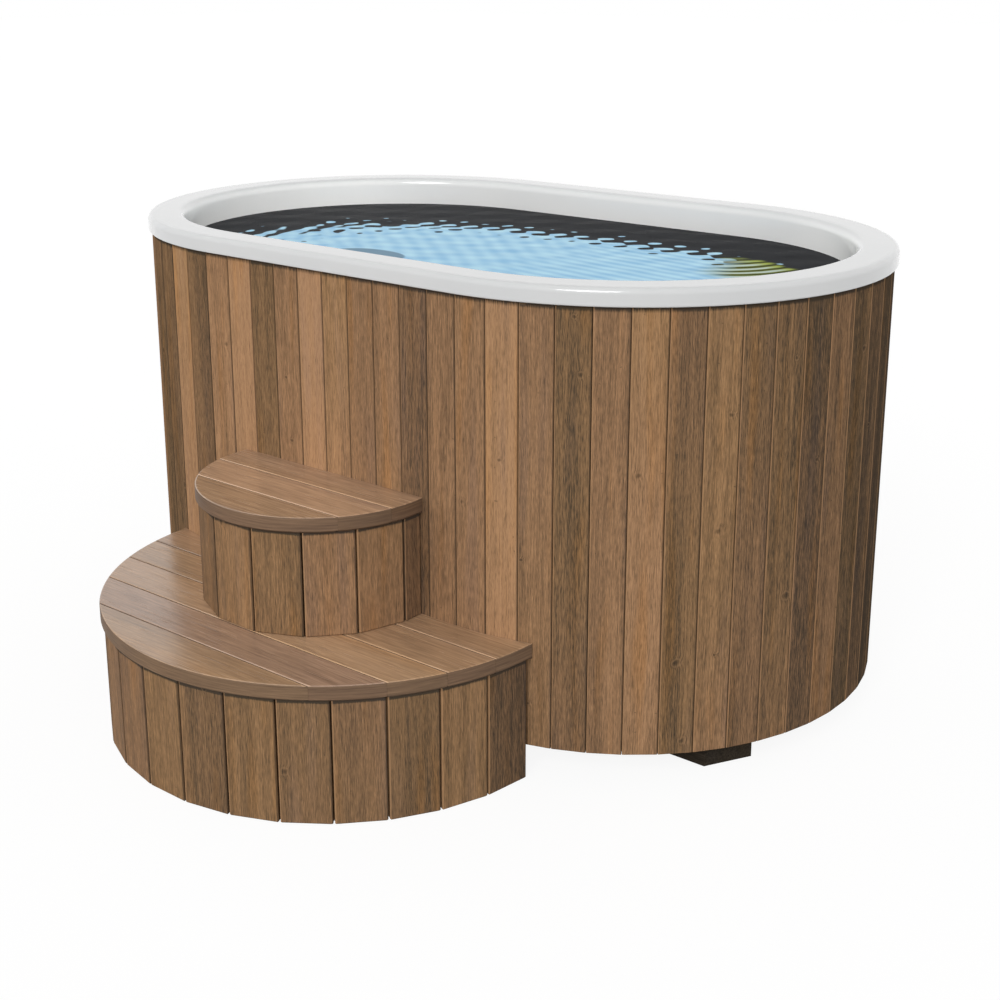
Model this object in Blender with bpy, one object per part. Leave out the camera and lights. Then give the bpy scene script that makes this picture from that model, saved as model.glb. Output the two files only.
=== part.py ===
"""Oval two-person hot tub: moulded shell, board cladding, base, drain and half-round steps.

The tub stands on the floor at z = 0, with its long axis along X and the steps against its front, at -Y.
The middle bearer's foot is centred on the origin.
"""
import math

import bmesh
import bpy
import numpy as np
from mathutils import Matrix, Vector

# Fits between pieces, in metres
CONTACT = 0.0003
STEP_WALL_GAP = 0.0005

# Oval plan, measured to the outer face of the boards
WALL_RADIUS = 0.566
STRAIGHT = 0.672

# Cladding
PANEL_COUNT = 10
BOARDS_PER_PANEL = 7
BOARD_THICKNESS = 0.022
BOARD_FOOT = 0.067
BOARD_HEAD_GAP = 0.006
BOARD_CHAMFER = 0.002
SEAM_SHIFT = 0.061

# Moulded shell and its rolled rim
SHELL_THICKNESS = 0.006
RIM_TOP = 0.993
RIM_FACE = 0.036
RIM_OVERHANG = 0.0075
RIM_WIDTH = 0.086
RIM_OUTER_ROUND = 0.012
RIM_INNER_ROUND = 0.018
WALL_LEAN = 0.022
SEAT_HEIGHT = 0.460
SEAT_FILLET = 0.050
SEAT_DEPTH = 0.392
SIDE_LEDGE = 0.016
SEAT_NOSE = 0.018
WELL_CORNER = 0.140
WELL_LEAN = 0.040
WELL_FILLET = 0.040
CORNER_SEGMENTS = 12

# Base
BEARER_WIDTH = 0.096
BEARER_HEIGHT = 0.070
BEARER_SPACING = 0.243
BEARER_SETBACK = 0.056
MIDDLE_BEARER_LENGTH = 1.200
PLATE_THICKNESS = 0.021
HOOP_WIDTH = 0.030
HOOP_HEIGHT = 0.045
PROP_THICKNESS = 0.018
PROP_WIDTH = 0.600
PROP_SETBACK = 0.200

# Drain and its ball valve
DRAIN_X = -0.160
DRAIN_Y = 0.120
DRAIN_BORE = 0.014
TAIL_RADIUS = 0.018
TAIL_DEPTH = 0.010
FLANGE_RADIUS = 0.042
FLANGE_THICKNESS = 0.006
FLANGE_LIP = 0.0006
STRAINER_RADIUS = 0.031
STRAINER_THICKNESS = 0.003
STRAINER_HOLES = 8
STRAINER_HOLE_RADIUS = 0.0035
STRAINER_HOLE_RING = 0.0098
NUT_RADIUS = 0.032
NUT_HEIGHT = 0.010
NUT_CLEARANCE = 0.012
PIPE_WALL = 0.003
PIPE_HEIGHT = 0.034
PIPE_BEND = 0.030
VALVE_STANDOFF = 0.060
VALVE_HALF_LENGTH = 0.042
SOCKET_DEPTH = 0.018
SOCKET_WALL = 0.005
BALL_RADIUS = 0.022
BALL_BORE = 0.014
BALL_CLEARANCE = 0.0008
NECK_RADIUS = 0.011
NECK_HEIGHT = 0.014
STEM_RADIUS = 0.006
STEM_SEAT = 0.005
LEVER_LENGTH = 0.090
LEVER_WIDTH = 0.018
LEVER_THICKNESS = 0.004
ROUND_STEPS = 24

# Steps
TREAD_THICKNESS = 0.031
TREAD_GAP = 0.001
TREAD_OVERHANG = 0.0045
TREAD_EASE = 0.003
STAVE_THICKNESS = 0.022
STAVE_GAP = 0.003
STAVE_CHAMFER = 0.0025
RIB_WIDTH = 0.045
RIB_THICKNESS = 0.036
RIB_FOOT = 0.010
POST_WIDTH = 0.036
LOWER_TOP = 0.286
LOWER_RADIUS = 0.505
LOWER_INSET = 0.035
LOWER_STAVES = 15
LOWER_TREADS = 5
LOWER_BACK_BOARD = 0.071
LOWER_JOIST = 0.170
UPPER_RISE = 0.249
UPPER_RADIUS = 0.2515
UPPER_OUTSET = 0.0275
UPPER_FULL_STAVES = 7
UPPER_STAVE_PITCH = 24.2
UPPER_TREADS = 3
UPPER_BACK_BOARD = 0.084

# Levels and lengths that follow from the sizes above
PLATE_LOW = BEARER_HEIGHT + CONTACT
PLATE_TOP = PLATE_LOW + PLATE_THICKNESS
SHELL_FOOT = PLATE_TOP + CONTACT
WELL_FLOOR = SHELL_FOOT + SHELL_THICKNESS
RIM_UNDERSIDE = RIM_TOP - SHELL_THICKNESS
BOARD_COUNT = PANEL_COUNT * BOARDS_PER_PANEL
PERIMETER = 2 * math.pi * WALL_RADIUS + 2 * STRAIGHT
BOARD_PITCH = PERIMETER / BOARD_COUNT
PIPE_INNER = TAIL_RADIUS + CONTACT
PIPE_OUTER = PIPE_INNER + PIPE_WALL
VALVE_X = -(STRAIGHT / 2 + WALL_RADIUS + VALVE_STANDOFF)
UPPER_TOP = LOWER_TOP + UPPER_RISE


def clear_scene():
    """Remove whatever the scene held before."""
    for obj in list(bpy.data.objects):
        bpy.data.objects.remove(obj, do_unlink=True)


def finish(name, colour, roughness, metallic=0.0):
    """A Principled material with one colour."""
    material = bpy.data.materials.new(name)
    material.use_nodes = True
    shader = material.node_tree.nodes["Principled BSDF"]
    shader.inputs["Base Color"].default_value = (*colour, 1.0)
    shader.inputs["Roughness"].default_value = roughness
    shader.inputs["Metallic"].default_value = metallic
    return material


def add_object(name, bm, material, parent=None, smooth=False):
    """Turn a bmesh into a named object."""
    bmesh.ops.recalc_face_normals(bm, faces=bm.faces)
    mesh = bpy.data.meshes.new(name)
    bm.to_mesh(mesh)
    bm.free()
    if smooth:
        mesh.shade_smooth()
        mesh.set_sharp_from_angle(angle=math.radians(35))
    mesh.materials.append(material)
    obj = bpy.data.objects.new(name, mesh)
    bpy.context.collection.objects.link(obj)
    obj.parent = parent
    return obj


def add_empty(name, location):
    """An empty that carries a moving group."""
    empty = bpy.data.objects.new(name, None)
    empty.location = location
    bpy.context.collection.objects.link(empty)
    return empty


def combine(target, tool, operation):
    """Cut a tool object from the target, or join it on, and leave the tool out of the build."""
    tool.hide_render = True
    tool.display_type = "WIRE"
    modifier = target.modifiers.new(tool.name, "BOOLEAN")
    modifier.operation = operation
    modifier.solver = "EXACT"
    modifier.object = tool


def prism(outline, low, high, ease=0.0):
    """Upright solid on a plan outline, its upper edge eased by a small chamfer where one is given."""
    levels = [(np.asarray(outline), low), (np.asarray(outline), high - ease)]
    if ease > 0:
        levels.append((inset(np.asarray(outline), ease), high))
    bm = bmesh.new()
    loops = [[bm.verts.new((x, y, z)) for x, y in points] for points, z in levels]
    for lower, upper in zip(loops, loops[1:]):
        join_loops(bm, lower, upper)
    bm.faces.new(loops[0])
    bm.faces.new(loops[-1])
    return bm


def join_loops(bm, lower, upper):
    """A band of four-sided faces between two closed loops of as many points."""
    count = len(lower)
    for i in range(count):
        j = (i + 1) % count
        bm.faces.new((lower[i], lower[j], upper[j], upper[i]))


def inset(outline, distance):
    """The outline moved inwards by a distance, its corners mitred."""
    before = outline - np.roll(outline, 1, axis=0)
    after = np.roll(outline, -1, axis=0) - outline
    normals = []
    for edge in (before, after):
        unit = edge / np.linalg.norm(edge, axis=1, keepdims=True)
        normals.append(np.column_stack([unit[:, 1], -unit[:, 0]]))
    share = 1 + (normals[0] * normals[1]).sum(axis=1, keepdims=True)
    return outline - distance * (normals[0] + normals[1]) / share


def cylinder(radius, low, high, x=0.0, y=0.0, steps=ROUND_STEPS):
    """Upright round bar."""
    bm = bmesh.new()
    place = Matrix.Translation((x, y, (low + high) / 2))
    bmesh.ops.create_cone(bm, cap_ends=True, segments=steps, radius1=radius, radius2=radius,
                          depth=high - low, matrix=place)
    return bm


def turned(profile, axis):
    """Solid turned from a closed profile of (along, radius) points about an axis through the origin."""
    axis = Vector(axis)
    side = axis.orthogonal().normalized()
    bm = bmesh.new()
    verts = [bm.verts.new(axis * along + side * radius) for along, radius in profile]
    edges = [bm.edges.new((verts[i - 1], verts[i])) for i in range(len(verts))]
    bmesh.ops.spin(bm, geom=verts + edges, cent=(0, 0, 0), axis=axis, angle=2 * math.pi,
                   steps=ROUND_STEPS, use_merge=True)
    bmesh.ops.remove_doubles(bm, verts=bm.verts, dist=1e-6)
    return bm


def oval(lengths, offset):
    """Points along the oval board line, moved out by an offset.

    Lengths run along the boards' outer face from the middle of the front, towards +X first.
    """
    half = STRAIGHT / 2
    arc = math.pi * WALL_RADIUS
    s = np.mod(np.asarray(lengths, dtype=float) + half, PERIMETER)
    turn = np.clip((s - STRAIGHT) / WALL_RADIUS, 0, math.pi)
    turn = turn + np.clip((s - 2 * STRAIGHT - arc) / WALL_RADIUS, 0, math.pi)
    run_front = np.clip(s, 0, STRAIGHT) - half
    run_back = np.clip(s - STRAIGHT - arc, 0, STRAIGHT)
    radius = WALL_RADIUS + offset
    angle = turn - math.pi / 2
    return np.column_stack([run_front - run_back + radius * np.cos(angle), radius * np.sin(angle)])


def seam_lengths():
    """Where the board seams lie along the oval."""
    return SEAM_SHIFT + BOARD_PITCH * np.arange(BOARD_COUNT + 1)


def oval_ring(offset):
    """Closed outline that follows the flat boards at an offset from their outer face."""
    return oval(seam_lengths()[:-1], offset)


def build_panel(index, material):
    """Seven tongued boards glued into one flat-faced panel, with a V groove at each seam."""
    first = index * BOARDS_PER_PANEL
    seams = seam_lengths()[first:first + BOARDS_PER_PANEL + 1]
    outer = oval(seams, 0.0)
    groove = oval(seams, -BOARD_CHAMFER)
    inner = oval(seams, -BOARD_THICKNESS)
    outline = []
    for i in range(BOARDS_PER_PANEL):
        along = (outer[i + 1] - outer[i]) / np.linalg.norm(outer[i + 1] - outer[i])
        start = groove[i] + along * (CONTACT if i == 0 else 0.0)
        outline += [start, outer[i] + along * BOARD_CHAMFER, outer[i + 1] - along * BOARD_CHAMFER]
    outline.append(groove[-1] - along * CONTACT)
    first_along = (inner[1] - inner[0]) / np.linalg.norm(inner[1] - inner[0])
    inner[-1] = inner[-1] - along * CONTACT
    inner[0] = inner[0] + first_along * CONTACT
    outline += list(without_straight_points(inner)[::-1])
    bm = prism(outline, BOARD_FOOT, RIM_UNDERSIDE - BOARD_HEAD_GAP)
    add_object(f"cladding_panel_{index + 1:02d}", bm, material)


def without_straight_points(points):
    """Leave out the inner points of straight runs."""
    kept = [points[0]]
    for before, here, after in zip(points, points[1:], points[2:]):
        a = here - before
        b = after - here
        if abs(a[0] * b[1] - a[1] * b[0]) > 1e-9:
            kept.append(here)
    kept.append(points[-1])
    return np.array(kept)


def build_hoop(material):
    """Oval hoop behind the heads of the boards, under the rim."""
    outside = oval_ring(-BOARD_THICKNESS - CONTACT)
    inside = oval_ring(-BOARD_THICKNESS - CONTACT - HOOP_WIDTH)
    high = RIM_UNDERSIDE - CONTACT
    low = high - HOOP_HEIGHT
    bm = bmesh.new()
    rings = [(outside, low), (outside, high), (inside, high), (inside, low)]
    loops = [[bm.verts.new((x, y, z)) for x, y in points] for points, z in rings]
    for i in range(4):
        join_loops(bm, loops[i - 1], loops[i])
    add_object("top_hoop", bm, material)


def rounded_loop(half_length, half_width, corner, z):
    """Closed loop of a rounded rectangle, counter-clockwise from the front right corner."""
    angles = np.linspace(0, math.pi / 2, CORNER_SEGMENTS + 1)
    points = []
    for quarter, (sx, sy) in enumerate([(1, -1), (1, 1), (-1, 1), (-1, -1)]):
        turn = angles + (quarter - 1) * math.pi / 2
        x = sx * (half_length - corner) + corner * np.cos(turn)
        y = sy * (half_width - corner) + corner * np.sin(turn)
        points.append(np.column_stack([x, y, np.full(len(turn), z)]))
    return np.concatenate(points)


def oval_loop(offset, z):
    """Loop of the oval at an offset from the boards' outer face."""
    radius = WALL_RADIUS + offset
    return rounded_loop(STRAIGHT / 2 + radius, radius, radius, z)


def shell_loops():
    """Loops of the shell's visible skin, from the foot of the rim's face to the floor of the foot well."""
    loops = [oval_loop(RIM_OVERHANG, RIM_TOP - RIM_FACE)]
    for turn in np.radians([0, 30, 60, 90]):
        inwards = RIM_OUTER_ROUND * (1 - math.cos(turn))
        down = RIM_OUTER_ROUND * (1 - math.sin(turn))
        loops.append(oval_loop(RIM_OVERHANG - inwards, RIM_TOP - down))
    wall = RIM_OVERHANG - RIM_WIDTH
    for turn in np.radians([0, 30, 60, 90]):
        inwards = RIM_INNER_ROUND * (1 - math.sin(turn))
        down = RIM_INNER_ROUND * (1 - math.cos(turn))
        loops.append(oval_loop(wall + inwards, RIM_TOP - down))
    foot = wall - WALL_LEAN
    for turn in np.radians([0, 30, 60, 90]):
        inwards = SEAT_FILLET * (1 - math.cos(turn))
        up = SEAT_FILLET * (1 - math.sin(turn))
        loops.append(oval_loop(foot - inwards, SEAT_HEIGHT + up))
    seat = WALL_RADIUS + foot - SEAT_FILLET
    half_length = STRAIGHT / 2 + seat - SEAT_DEPTH
    half_width = seat - SIDE_LEDGE
    for turn in np.radians([0, 45, 90]):
        inwards = SEAT_NOSE * math.sin(turn)
        down = SEAT_NOSE * (1 - math.cos(turn))
        loops.append(rounded_loop(half_length - inwards, half_width - inwards,
                                  WELL_CORNER - inwards, SEAT_HEIGHT - down))
    half_length -= SEAT_NOSE + WELL_LEAN
    half_width -= SEAT_NOSE + WELL_LEAN
    corner = WELL_CORNER - SEAT_NOSE
    for turn in np.radians([0, 30, 60, 90]):
        inwards = WELL_FILLET * (1 - math.cos(turn))
        up = WELL_FILLET * (1 - math.sin(turn))
        loops.append(rounded_loop(half_length - inwards, half_width - inwards, corner - inwards, WELL_FLOOR + up))
    return loops


def build_shell(material):
    """Fibreglass shell of even wall: rolled rim, inner wall, two end seats and a foot well with a drain hole."""
    bm = bmesh.new()
    loops = [[bm.verts.new(point) for point in loop] for loop in shell_loops()]
    for lower, upper in zip(loops, loops[1:]):
        join_loops(bm, lower, upper)
    bm.faces.new(loops[-1])
    bmesh.ops.remove_doubles(bm, verts=bm.verts, dist=1e-6)
    mesh = bpy.data.meshes.new("tub_shell")
    bm.to_mesh(mesh)
    bm.free()
    mesh.shade_smooth()
    mesh.materials.append(material)
    shell = bpy.data.objects.new("tub_shell", mesh)
    bpy.context.collection.objects.link(shell)
    wall = shell.modifiers.new("wall", "SOLIDIFY")
    wall.thickness = SHELL_THICKNESS
    wall.offset = -1
    wall.use_even_offset = True
    hole = cylinder(TAIL_RADIUS + CONTACT, SHELL_FOOT - SHELL_THICKNESS, WELL_FLOOR + SHELL_THICKNESS,
                    DRAIN_X, DRAIN_Y)
    combine(shell, add_object("cut_drain_hole", hole, material), "DIFFERENCE")


def well_half_length():
    """Half the foot well's length at the seats' front edges."""
    return STRAIGHT / 2 + WALL_RADIUS + RIM_OVERHANG - RIM_WIDTH - WALL_LEAN - SEAT_FILLET - SEAT_DEPTH


def build_base(timber, plywood):
    """Bearers, the base plate in two parts with the drain between them, and the props under the seats."""
    inner = WALL_RADIUS - BEARER_SETBACK
    for side, sign in (("front", -1), ("back", 1)):
        near = BEARER_SPACING - BEARER_WIDTH / 2
        far = BEARER_SPACING + BEARER_WIDTH / 2
        x_near = STRAIGHT / 2 + math.sqrt(inner ** 2 - near ** 2)
        x_far = STRAIGHT / 2 + math.sqrt(inner ** 2 - far ** 2)
        outline = [(-x_near, sign * near), (x_near, sign * near), (x_far, sign * far), (-x_far, sign * far)]
        add_object(f"bearer_{side}", prism(outline, 0.0, BEARER_HEIGHT), timber)
    half = MIDDLE_BEARER_LENGTH / 2
    add_object("bearer_middle", prism(box_outline(-half, half, -BEARER_WIDTH / 2, BEARER_WIDTH / 2),
                                      0.0, BEARER_HEIGHT), timber)
    plate = oval_ring(-BOARD_THICKNESS - CONTACT)
    for side, sign in (("front", -1), ("back", 1)):
        outline = clip_outline(plate, DRAIN_Y + sign * (NUT_RADIUS + NUT_CLEARANCE), sign)
        add_object(f"base_plate_{side}", prism(outline, PLATE_LOW, PLATE_TOP), plywood)
    for side, sign in (("left", -1), ("right", 1)):
        middle = sign * (well_half_length() + PROP_SETBACK)
        outline = box_outline(middle - PROP_THICKNESS / 2, middle + PROP_THICKNESS / 2,
                              -PROP_WIDTH / 2, PROP_WIDTH / 2)
        high = SEAT_HEIGHT - SHELL_THICKNESS - CONTACT
        add_object(f"seat_prop_{side}", prism(outline, PLATE_TOP + CONTACT, high), plywood)


def clip_outline(outline, level, sign):
    """The part of a convex outline beyond a line across it at y = level, on the side that sign names."""
    kept = []
    for here, after in zip(outline, np.roll(outline, -1, axis=0)):
        a = sign * (here[1] - level)
        b = sign * (after[1] - level)
        if a >= 0:
            kept.append(here)
        if a * b < 0:
            kept.append(here + (after - here) * a / (a - b))
    return np.array(kept)


def box_outline(x0, x1, y0, y1):
    """Rectangle in plan."""
    return [(x0, y0), (x1, y0), (x1, y1), (x0, y1)]


def build_drain(plastic, steel, brass):
    """Strainer, flange, backing nut, pipe and ball valve."""
    seat = FLANGE_THICKNESS - STRAINER_THICKNESS - CONTACT
    low = SHELL_FOOT - CONTACT - NUT_HEIGHT - CONTACT - TAIL_DEPTH
    base = WELL_FLOOR + CONTACT
    ledge = STRAINER_RADIUS + CONTACT
    profile = [(low, DRAIN_BORE), (low, TAIL_RADIUS), (base, TAIL_RADIUS), (base, FLANGE_RADIUS),
               (base + seat, FLANGE_RADIUS), (base + FLANGE_THICKNESS, ledge + FLANGE_LIP),
               (base + FLANGE_THICKNESS, ledge), (base + seat, ledge), (base + seat, DRAIN_BORE)]
    flange = add_object("drain_flange", turned(profile, (0, 0, 1)), plastic, smooth=True)
    flange.location = (DRAIN_X, DRAIN_Y, 0)

    top = base + FLANGE_THICKNESS
    strainer = add_object("drain_strainer", cylinder(STRAINER_RADIUS, top - STRAINER_THICKNESS, top), steel)
    strainer.location = (DRAIN_X, DRAIN_Y, 0)
    holes = bmesh.new()
    for i in range(STRAINER_HOLES):
        angle = 2 * math.pi * i / STRAINER_HOLES
        place = Matrix.Translation((DRAIN_X + STRAINER_HOLE_RING * math.cos(angle),
                                    DRAIN_Y + STRAINER_HOLE_RING * math.sin(angle), top))
        bmesh.ops.create_cone(holes, cap_ends=True, segments=10, radius1=STRAINER_HOLE_RADIUS,
                              radius2=STRAINER_HOLE_RADIUS, depth=4 * STRAINER_THICKNESS, matrix=place)
    combine(strainer, add_object("cut_strainer_holes", holes, steel), "DIFFERENCE")

    nut_top = SHELL_FOOT - CONTACT
    nut = add_object("drain_nut", cylinder(NUT_RADIUS, nut_top - NUT_HEIGHT, nut_top, steps=6), plastic)
    nut.location = (DRAIN_X, DRAIN_Y, 0)
    thread = cylinder(TAIL_RADIUS + CONTACT, nut_top - 2 * NUT_HEIGHT, nut_top + NUT_HEIGHT, DRAIN_X, DRAIN_Y)
    combine(nut, add_object("cut_nut_thread", thread, plastic), "DIFFERENCE")

    add_object("drain_pipe", pipe_mesh(nut_top - NUT_HEIGHT - CONTACT), plastic, smooth=True)
    build_valve(brass, steel)


def pipe_mesh(top):
    """Pipe from the drain flange down a bend and out under the tub to the valve, bored right through."""
    end = VALVE_X + VALVE_HALF_LENGTH - SOCKET_DEPTH
    path = [((DRAIN_X, top), 0.0)]
    for turn in np.linspace(0, math.pi / 2, 7):
        x = DRAIN_X - PIPE_BEND * (1 - math.cos(turn))
        z = PIPE_HEIGHT + PIPE_BEND * (1 - math.sin(turn))
        path.append(((x, z), turn))
    path.append(((end, PIPE_HEIGHT), math.pi / 2))
    bm = bmesh.new()
    walls = []
    for radius in (PIPE_OUTER, PIPE_INNER):
        rings = []
        for (x, z), turn in path:
            ring = []
            for angle in np.linspace(0, 2 * math.pi, ROUND_STEPS, endpoint=False):
                across = radius * math.cos(angle)
                point = (x + across * math.cos(turn), DRAIN_Y + radius * math.sin(angle), z - across * math.sin(turn))
                ring.append(bm.verts.new(point))
            rings.append(ring)
        for first, second in zip(rings, rings[1:]):
            join_loops(bm, first, second)
        walls.append(rings)
    join_loops(bm, walls[0][0], walls[1][0])
    join_loops(bm, walls[0][-1], walls[1][-1])
    return bm


def build_valve(brass, steel):
    """Ball valve outside the boards at the left end: body, ball, and the lever with its stem."""
    half = VALVE_HALF_LENGTH
    cavity = BALL_RADIUS + BALL_CLEARANCE
    neck = math.sqrt(cavity ** 2 - BALL_BORE ** 2)
    socket = PIPE_OUTER + CONTACT
    shoulder = half - SOCKET_DEPTH - CONTACT
    outer = socket + SOCKET_WALL
    belly = max(cavity + SOCKET_WALL, outer)
    profile = [(half, socket), (half, outer), (neck, outer), (neck / 2, belly), (-neck / 2, belly),
               (-neck, outer), (-half, outer), (-half, BALL_BORE)]
    for turn in np.linspace(-1, 1, 9):
        along = neck * turn
        profile.append((along, math.sqrt(cavity ** 2 - along ** 2)))
    profile += [(shoulder, BALL_BORE), (shoulder, socket)]
    place = Vector((VALVE_X, DRAIN_Y, PIPE_HEIGHT))
    body = add_object("valve_body", turned(profile, (1, 0, 0)), brass, smooth=True)
    body.location = place
    neck_top = PIPE_HEIGHT + belly + NECK_HEIGHT
    collar = cylinder(NECK_RADIUS, PIPE_HEIGHT + cavity + SOCKET_WALL / 2, neck_top, VALVE_X, DRAIN_Y)
    combine(body, add_object("join_valve_neck", collar, brass), "UNION")
    stem_hole = cylinder(STEM_RADIUS + CONTACT, PIPE_HEIGHT + BALL_BORE, neck_top + NECK_HEIGHT, VALVE_X, DRAIN_Y)
    combine(body, add_object("cut_stem_hole", stem_hole, brass), "DIFFERENCE")

    pivot = add_empty("valve_pivot", place)
    ball_half = math.sqrt(BALL_RADIUS ** 2 - BALL_BORE ** 2)
    profile = [(along, math.sqrt(BALL_RADIUS ** 2 - along ** 2)) for along in np.linspace(-ball_half, ball_half, 9)]
    ball = add_object("valve_ball", turned(profile, (0, 1, 0)), steel, pivot, smooth=True)
    seat = cylinder(STEM_RADIUS + CONTACT, PIPE_HEIGHT + BALL_RADIUS - STEM_SEAT, PIPE_HEIGHT + 2 * BALL_RADIUS,
                    VALVE_X, DRAIN_Y)
    combine(ball, add_object("cut_ball_seat", seat, steel), "DIFFERENCE")

    plate_low = neck_top + CONTACT - PIPE_HEIGHT
    plate_high = plate_low + LEVER_THICKNESS
    lever = add_object("valve_lever", prism(lever_outline(), plate_low, plate_high), steel, pivot)
    stem_low = PIPE_HEIGHT + BALL_RADIUS - STEM_SEAT + CONTACT
    stem = cylinder(STEM_RADIUS, stem_low, PIPE_HEIGHT + plate_high + LEVER_THICKNESS, VALVE_X, DRAIN_Y)
    combine(lever, add_object("join_valve_stem", stem, steel), "UNION")


def lever_outline():
    """Lever in plan: a round eye at the stem and a bar with a round end, along +Y when shut."""
    eye = NECK_RADIUS
    half = LEVER_WIDTH / 2
    start = math.acos(half / eye)
    eye_turns = np.linspace(math.pi - start, 2 * math.pi + start, 13)
    end_turns = np.linspace(0, math.pi, 9)
    outline = [(eye * math.cos(t), eye * math.sin(t)) for t in eye_turns]
    outline += [(half * math.cos(t), LEVER_LENGTH - half + half * math.sin(t)) for t in end_turns]
    return outline


def meet_wall(centre, radius):
    """Right-hand point where a circle about (0, centre) meets the tub's outside, with the steps' gap."""
    reach = WALL_RADIUS + STEP_WALL_GAP
    x = math.sqrt(radius ** 2 - (reach + centre) ** 2)
    if x <= STRAIGHT / 2:
        return np.array([x, -reach])
    between = np.array([STRAIGHT / 2, -centre])
    distance = np.linalg.norm(between)
    along = (radius ** 2 - reach ** 2 + distance ** 2) / (2 * distance)
    across = math.sqrt(radius ** 2 - along ** 2)
    unit = between / distance
    return np.array([0.0, centre]) + unit * along + np.array([unit[1], -unit[0]]) * across


def wall_angle(centre, radius):
    """Angle about (0, centre) at which a circle meets the tub's outside."""
    point = meet_wall(centre, radius)
    return math.atan2(point[1] - centre, point[0])


def stave_angles(centre, radius, full_staves, pitch):
    """Angles of the stave seams from right to left; with a pitch, what is left makes a narrow stave at each end."""
    end = min(wall_angle(centre, radius), wall_angle(centre, radius - STAVE_THICKNESS))
    spread = math.pi + 2 * end
    if pitch is None:
        return -(-end + np.linspace(0, spread, full_staves + 1))
    half = math.radians(pitch) * full_staves / 2
    inner = np.linspace(-math.pi / 2 + half, -math.pi / 2 - half, full_staves + 1)
    return np.concatenate([[end], inner, [-math.pi - end]])


def ring_points(centre, radius, angles):
    """Points of a half-round row of flat staves."""
    return np.column_stack([radius * np.cos(angles), centre + radius * np.sin(angles)])


def build_staves(name, centre, radius, angles, low, high, material, parent):
    """Upright staves side by side round a step, each with chamfered outer edges."""
    outer = ring_points(centre, radius, angles)
    inner = ring_points(centre, radius - STAVE_THICKNESS, angles)
    for i in range(len(angles) - 1):
        along = (outer[i + 1] - outer[i]) / np.linalg.norm(outer[i + 1] - outer[i])
        inwards = np.array([-along[1], along[0]])
        inwards = inwards * np.sign(inwards @ (np.array([0.0, centre]) - outer[i]))
        gap = along * STAVE_GAP / 2
        edge = along * STAVE_CHAMFER
        depth = inwards * STAVE_CHAMFER
        outline = [outer[i] + gap + depth, outer[i] + gap + edge, outer[i + 1] - gap - edge,
                   outer[i + 1] - gap + depth, inner[i + 1] - gap, inner[i] + gap]
        add_object(f"{name}_stave_{i + 1:02d}", prism(outline, low, high), material, parent)


def tread_outline(centre, radius, front, back):
    """Board of a half-round tread between two lines across it, cut by the round front and the tub's outside."""
    corner = meet_wall(centre, radius)
    scribed = back is None
    top = corner[1] if scribed else back
    low_angle = math.asin(max((front - centre) / radius, -1.0))
    high_angle = math.asin((top - centre) / radius)
    right = ring_points(centre, radius, np.linspace(low_angle, high_angle, 9))
    left = right[::-1] * np.array([-1, 1])
    middle = np.empty((0, 2))
    if scribed and corner[0] > STRAIGHT / 2:
        reach = WALL_RADIUS + STEP_WALL_GAP
        end = math.atan2(corner[1], corner[0] - STRAIGHT / 2)
        turns = np.linspace(end, -math.pi / 2, 6)[1:]
        bend = np.column_stack([STRAIGHT / 2 + reach * np.cos(turns), reach * np.sin(turns)])
        middle = np.concatenate([bend, bend[::-1] * np.array([-1, 1])])
    outline = np.concatenate([right, middle, left])
    if low_angle <= -math.pi / 2:
        outline = outline[1:]
    return outline


def build_treads(name, centre, radius, top, count, back_board, material, parent):
    """Boards of a tread, from the tub outwards: a back board, then boards that share what is left evenly."""
    seam = -WALL_RADIUS - back_board
    pitch = (seam - centre + radius) / (count - 1)
    back = None
    for i in range(count):
        last = i == count - 1
        front = centre - radius if last else seam + TREAD_GAP / 2
        outline = tread_outline(centre, radius, front, back)
        bm = prism(outline, top - TREAD_THICKNESS, top, TREAD_EASE)
        add_object(f"{name}_tread_{i + 1}", bm, material, parent)
        back = seam - TREAD_GAP / 2
        seam -= pitch


def rib_outline(centre, radius, angles):
    """Half-round rib that follows the flat staves, its ends cut to clear the tub."""
    start = min(angles[0], wall_angle(centre, radius - RIB_WIDTH))
    middle = (angles[0] + angles[1]) / 2
    half = (angles[0] - angles[1]) / 2
    reach = radius * math.cos(half) / math.cos(start - middle)
    right = ring_points(centre, reach, np.array([start]))
    left = right * np.array([-1, 1])
    outside = np.concatenate([right, ring_points(centre, radius, angles[1:-1]), left])
    origin = np.array([0.0, centre])
    inside = origin + (outside - origin) * (radius - RIB_WIDTH) / radius
    return np.concatenate([outside[::-1], inside])


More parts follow.
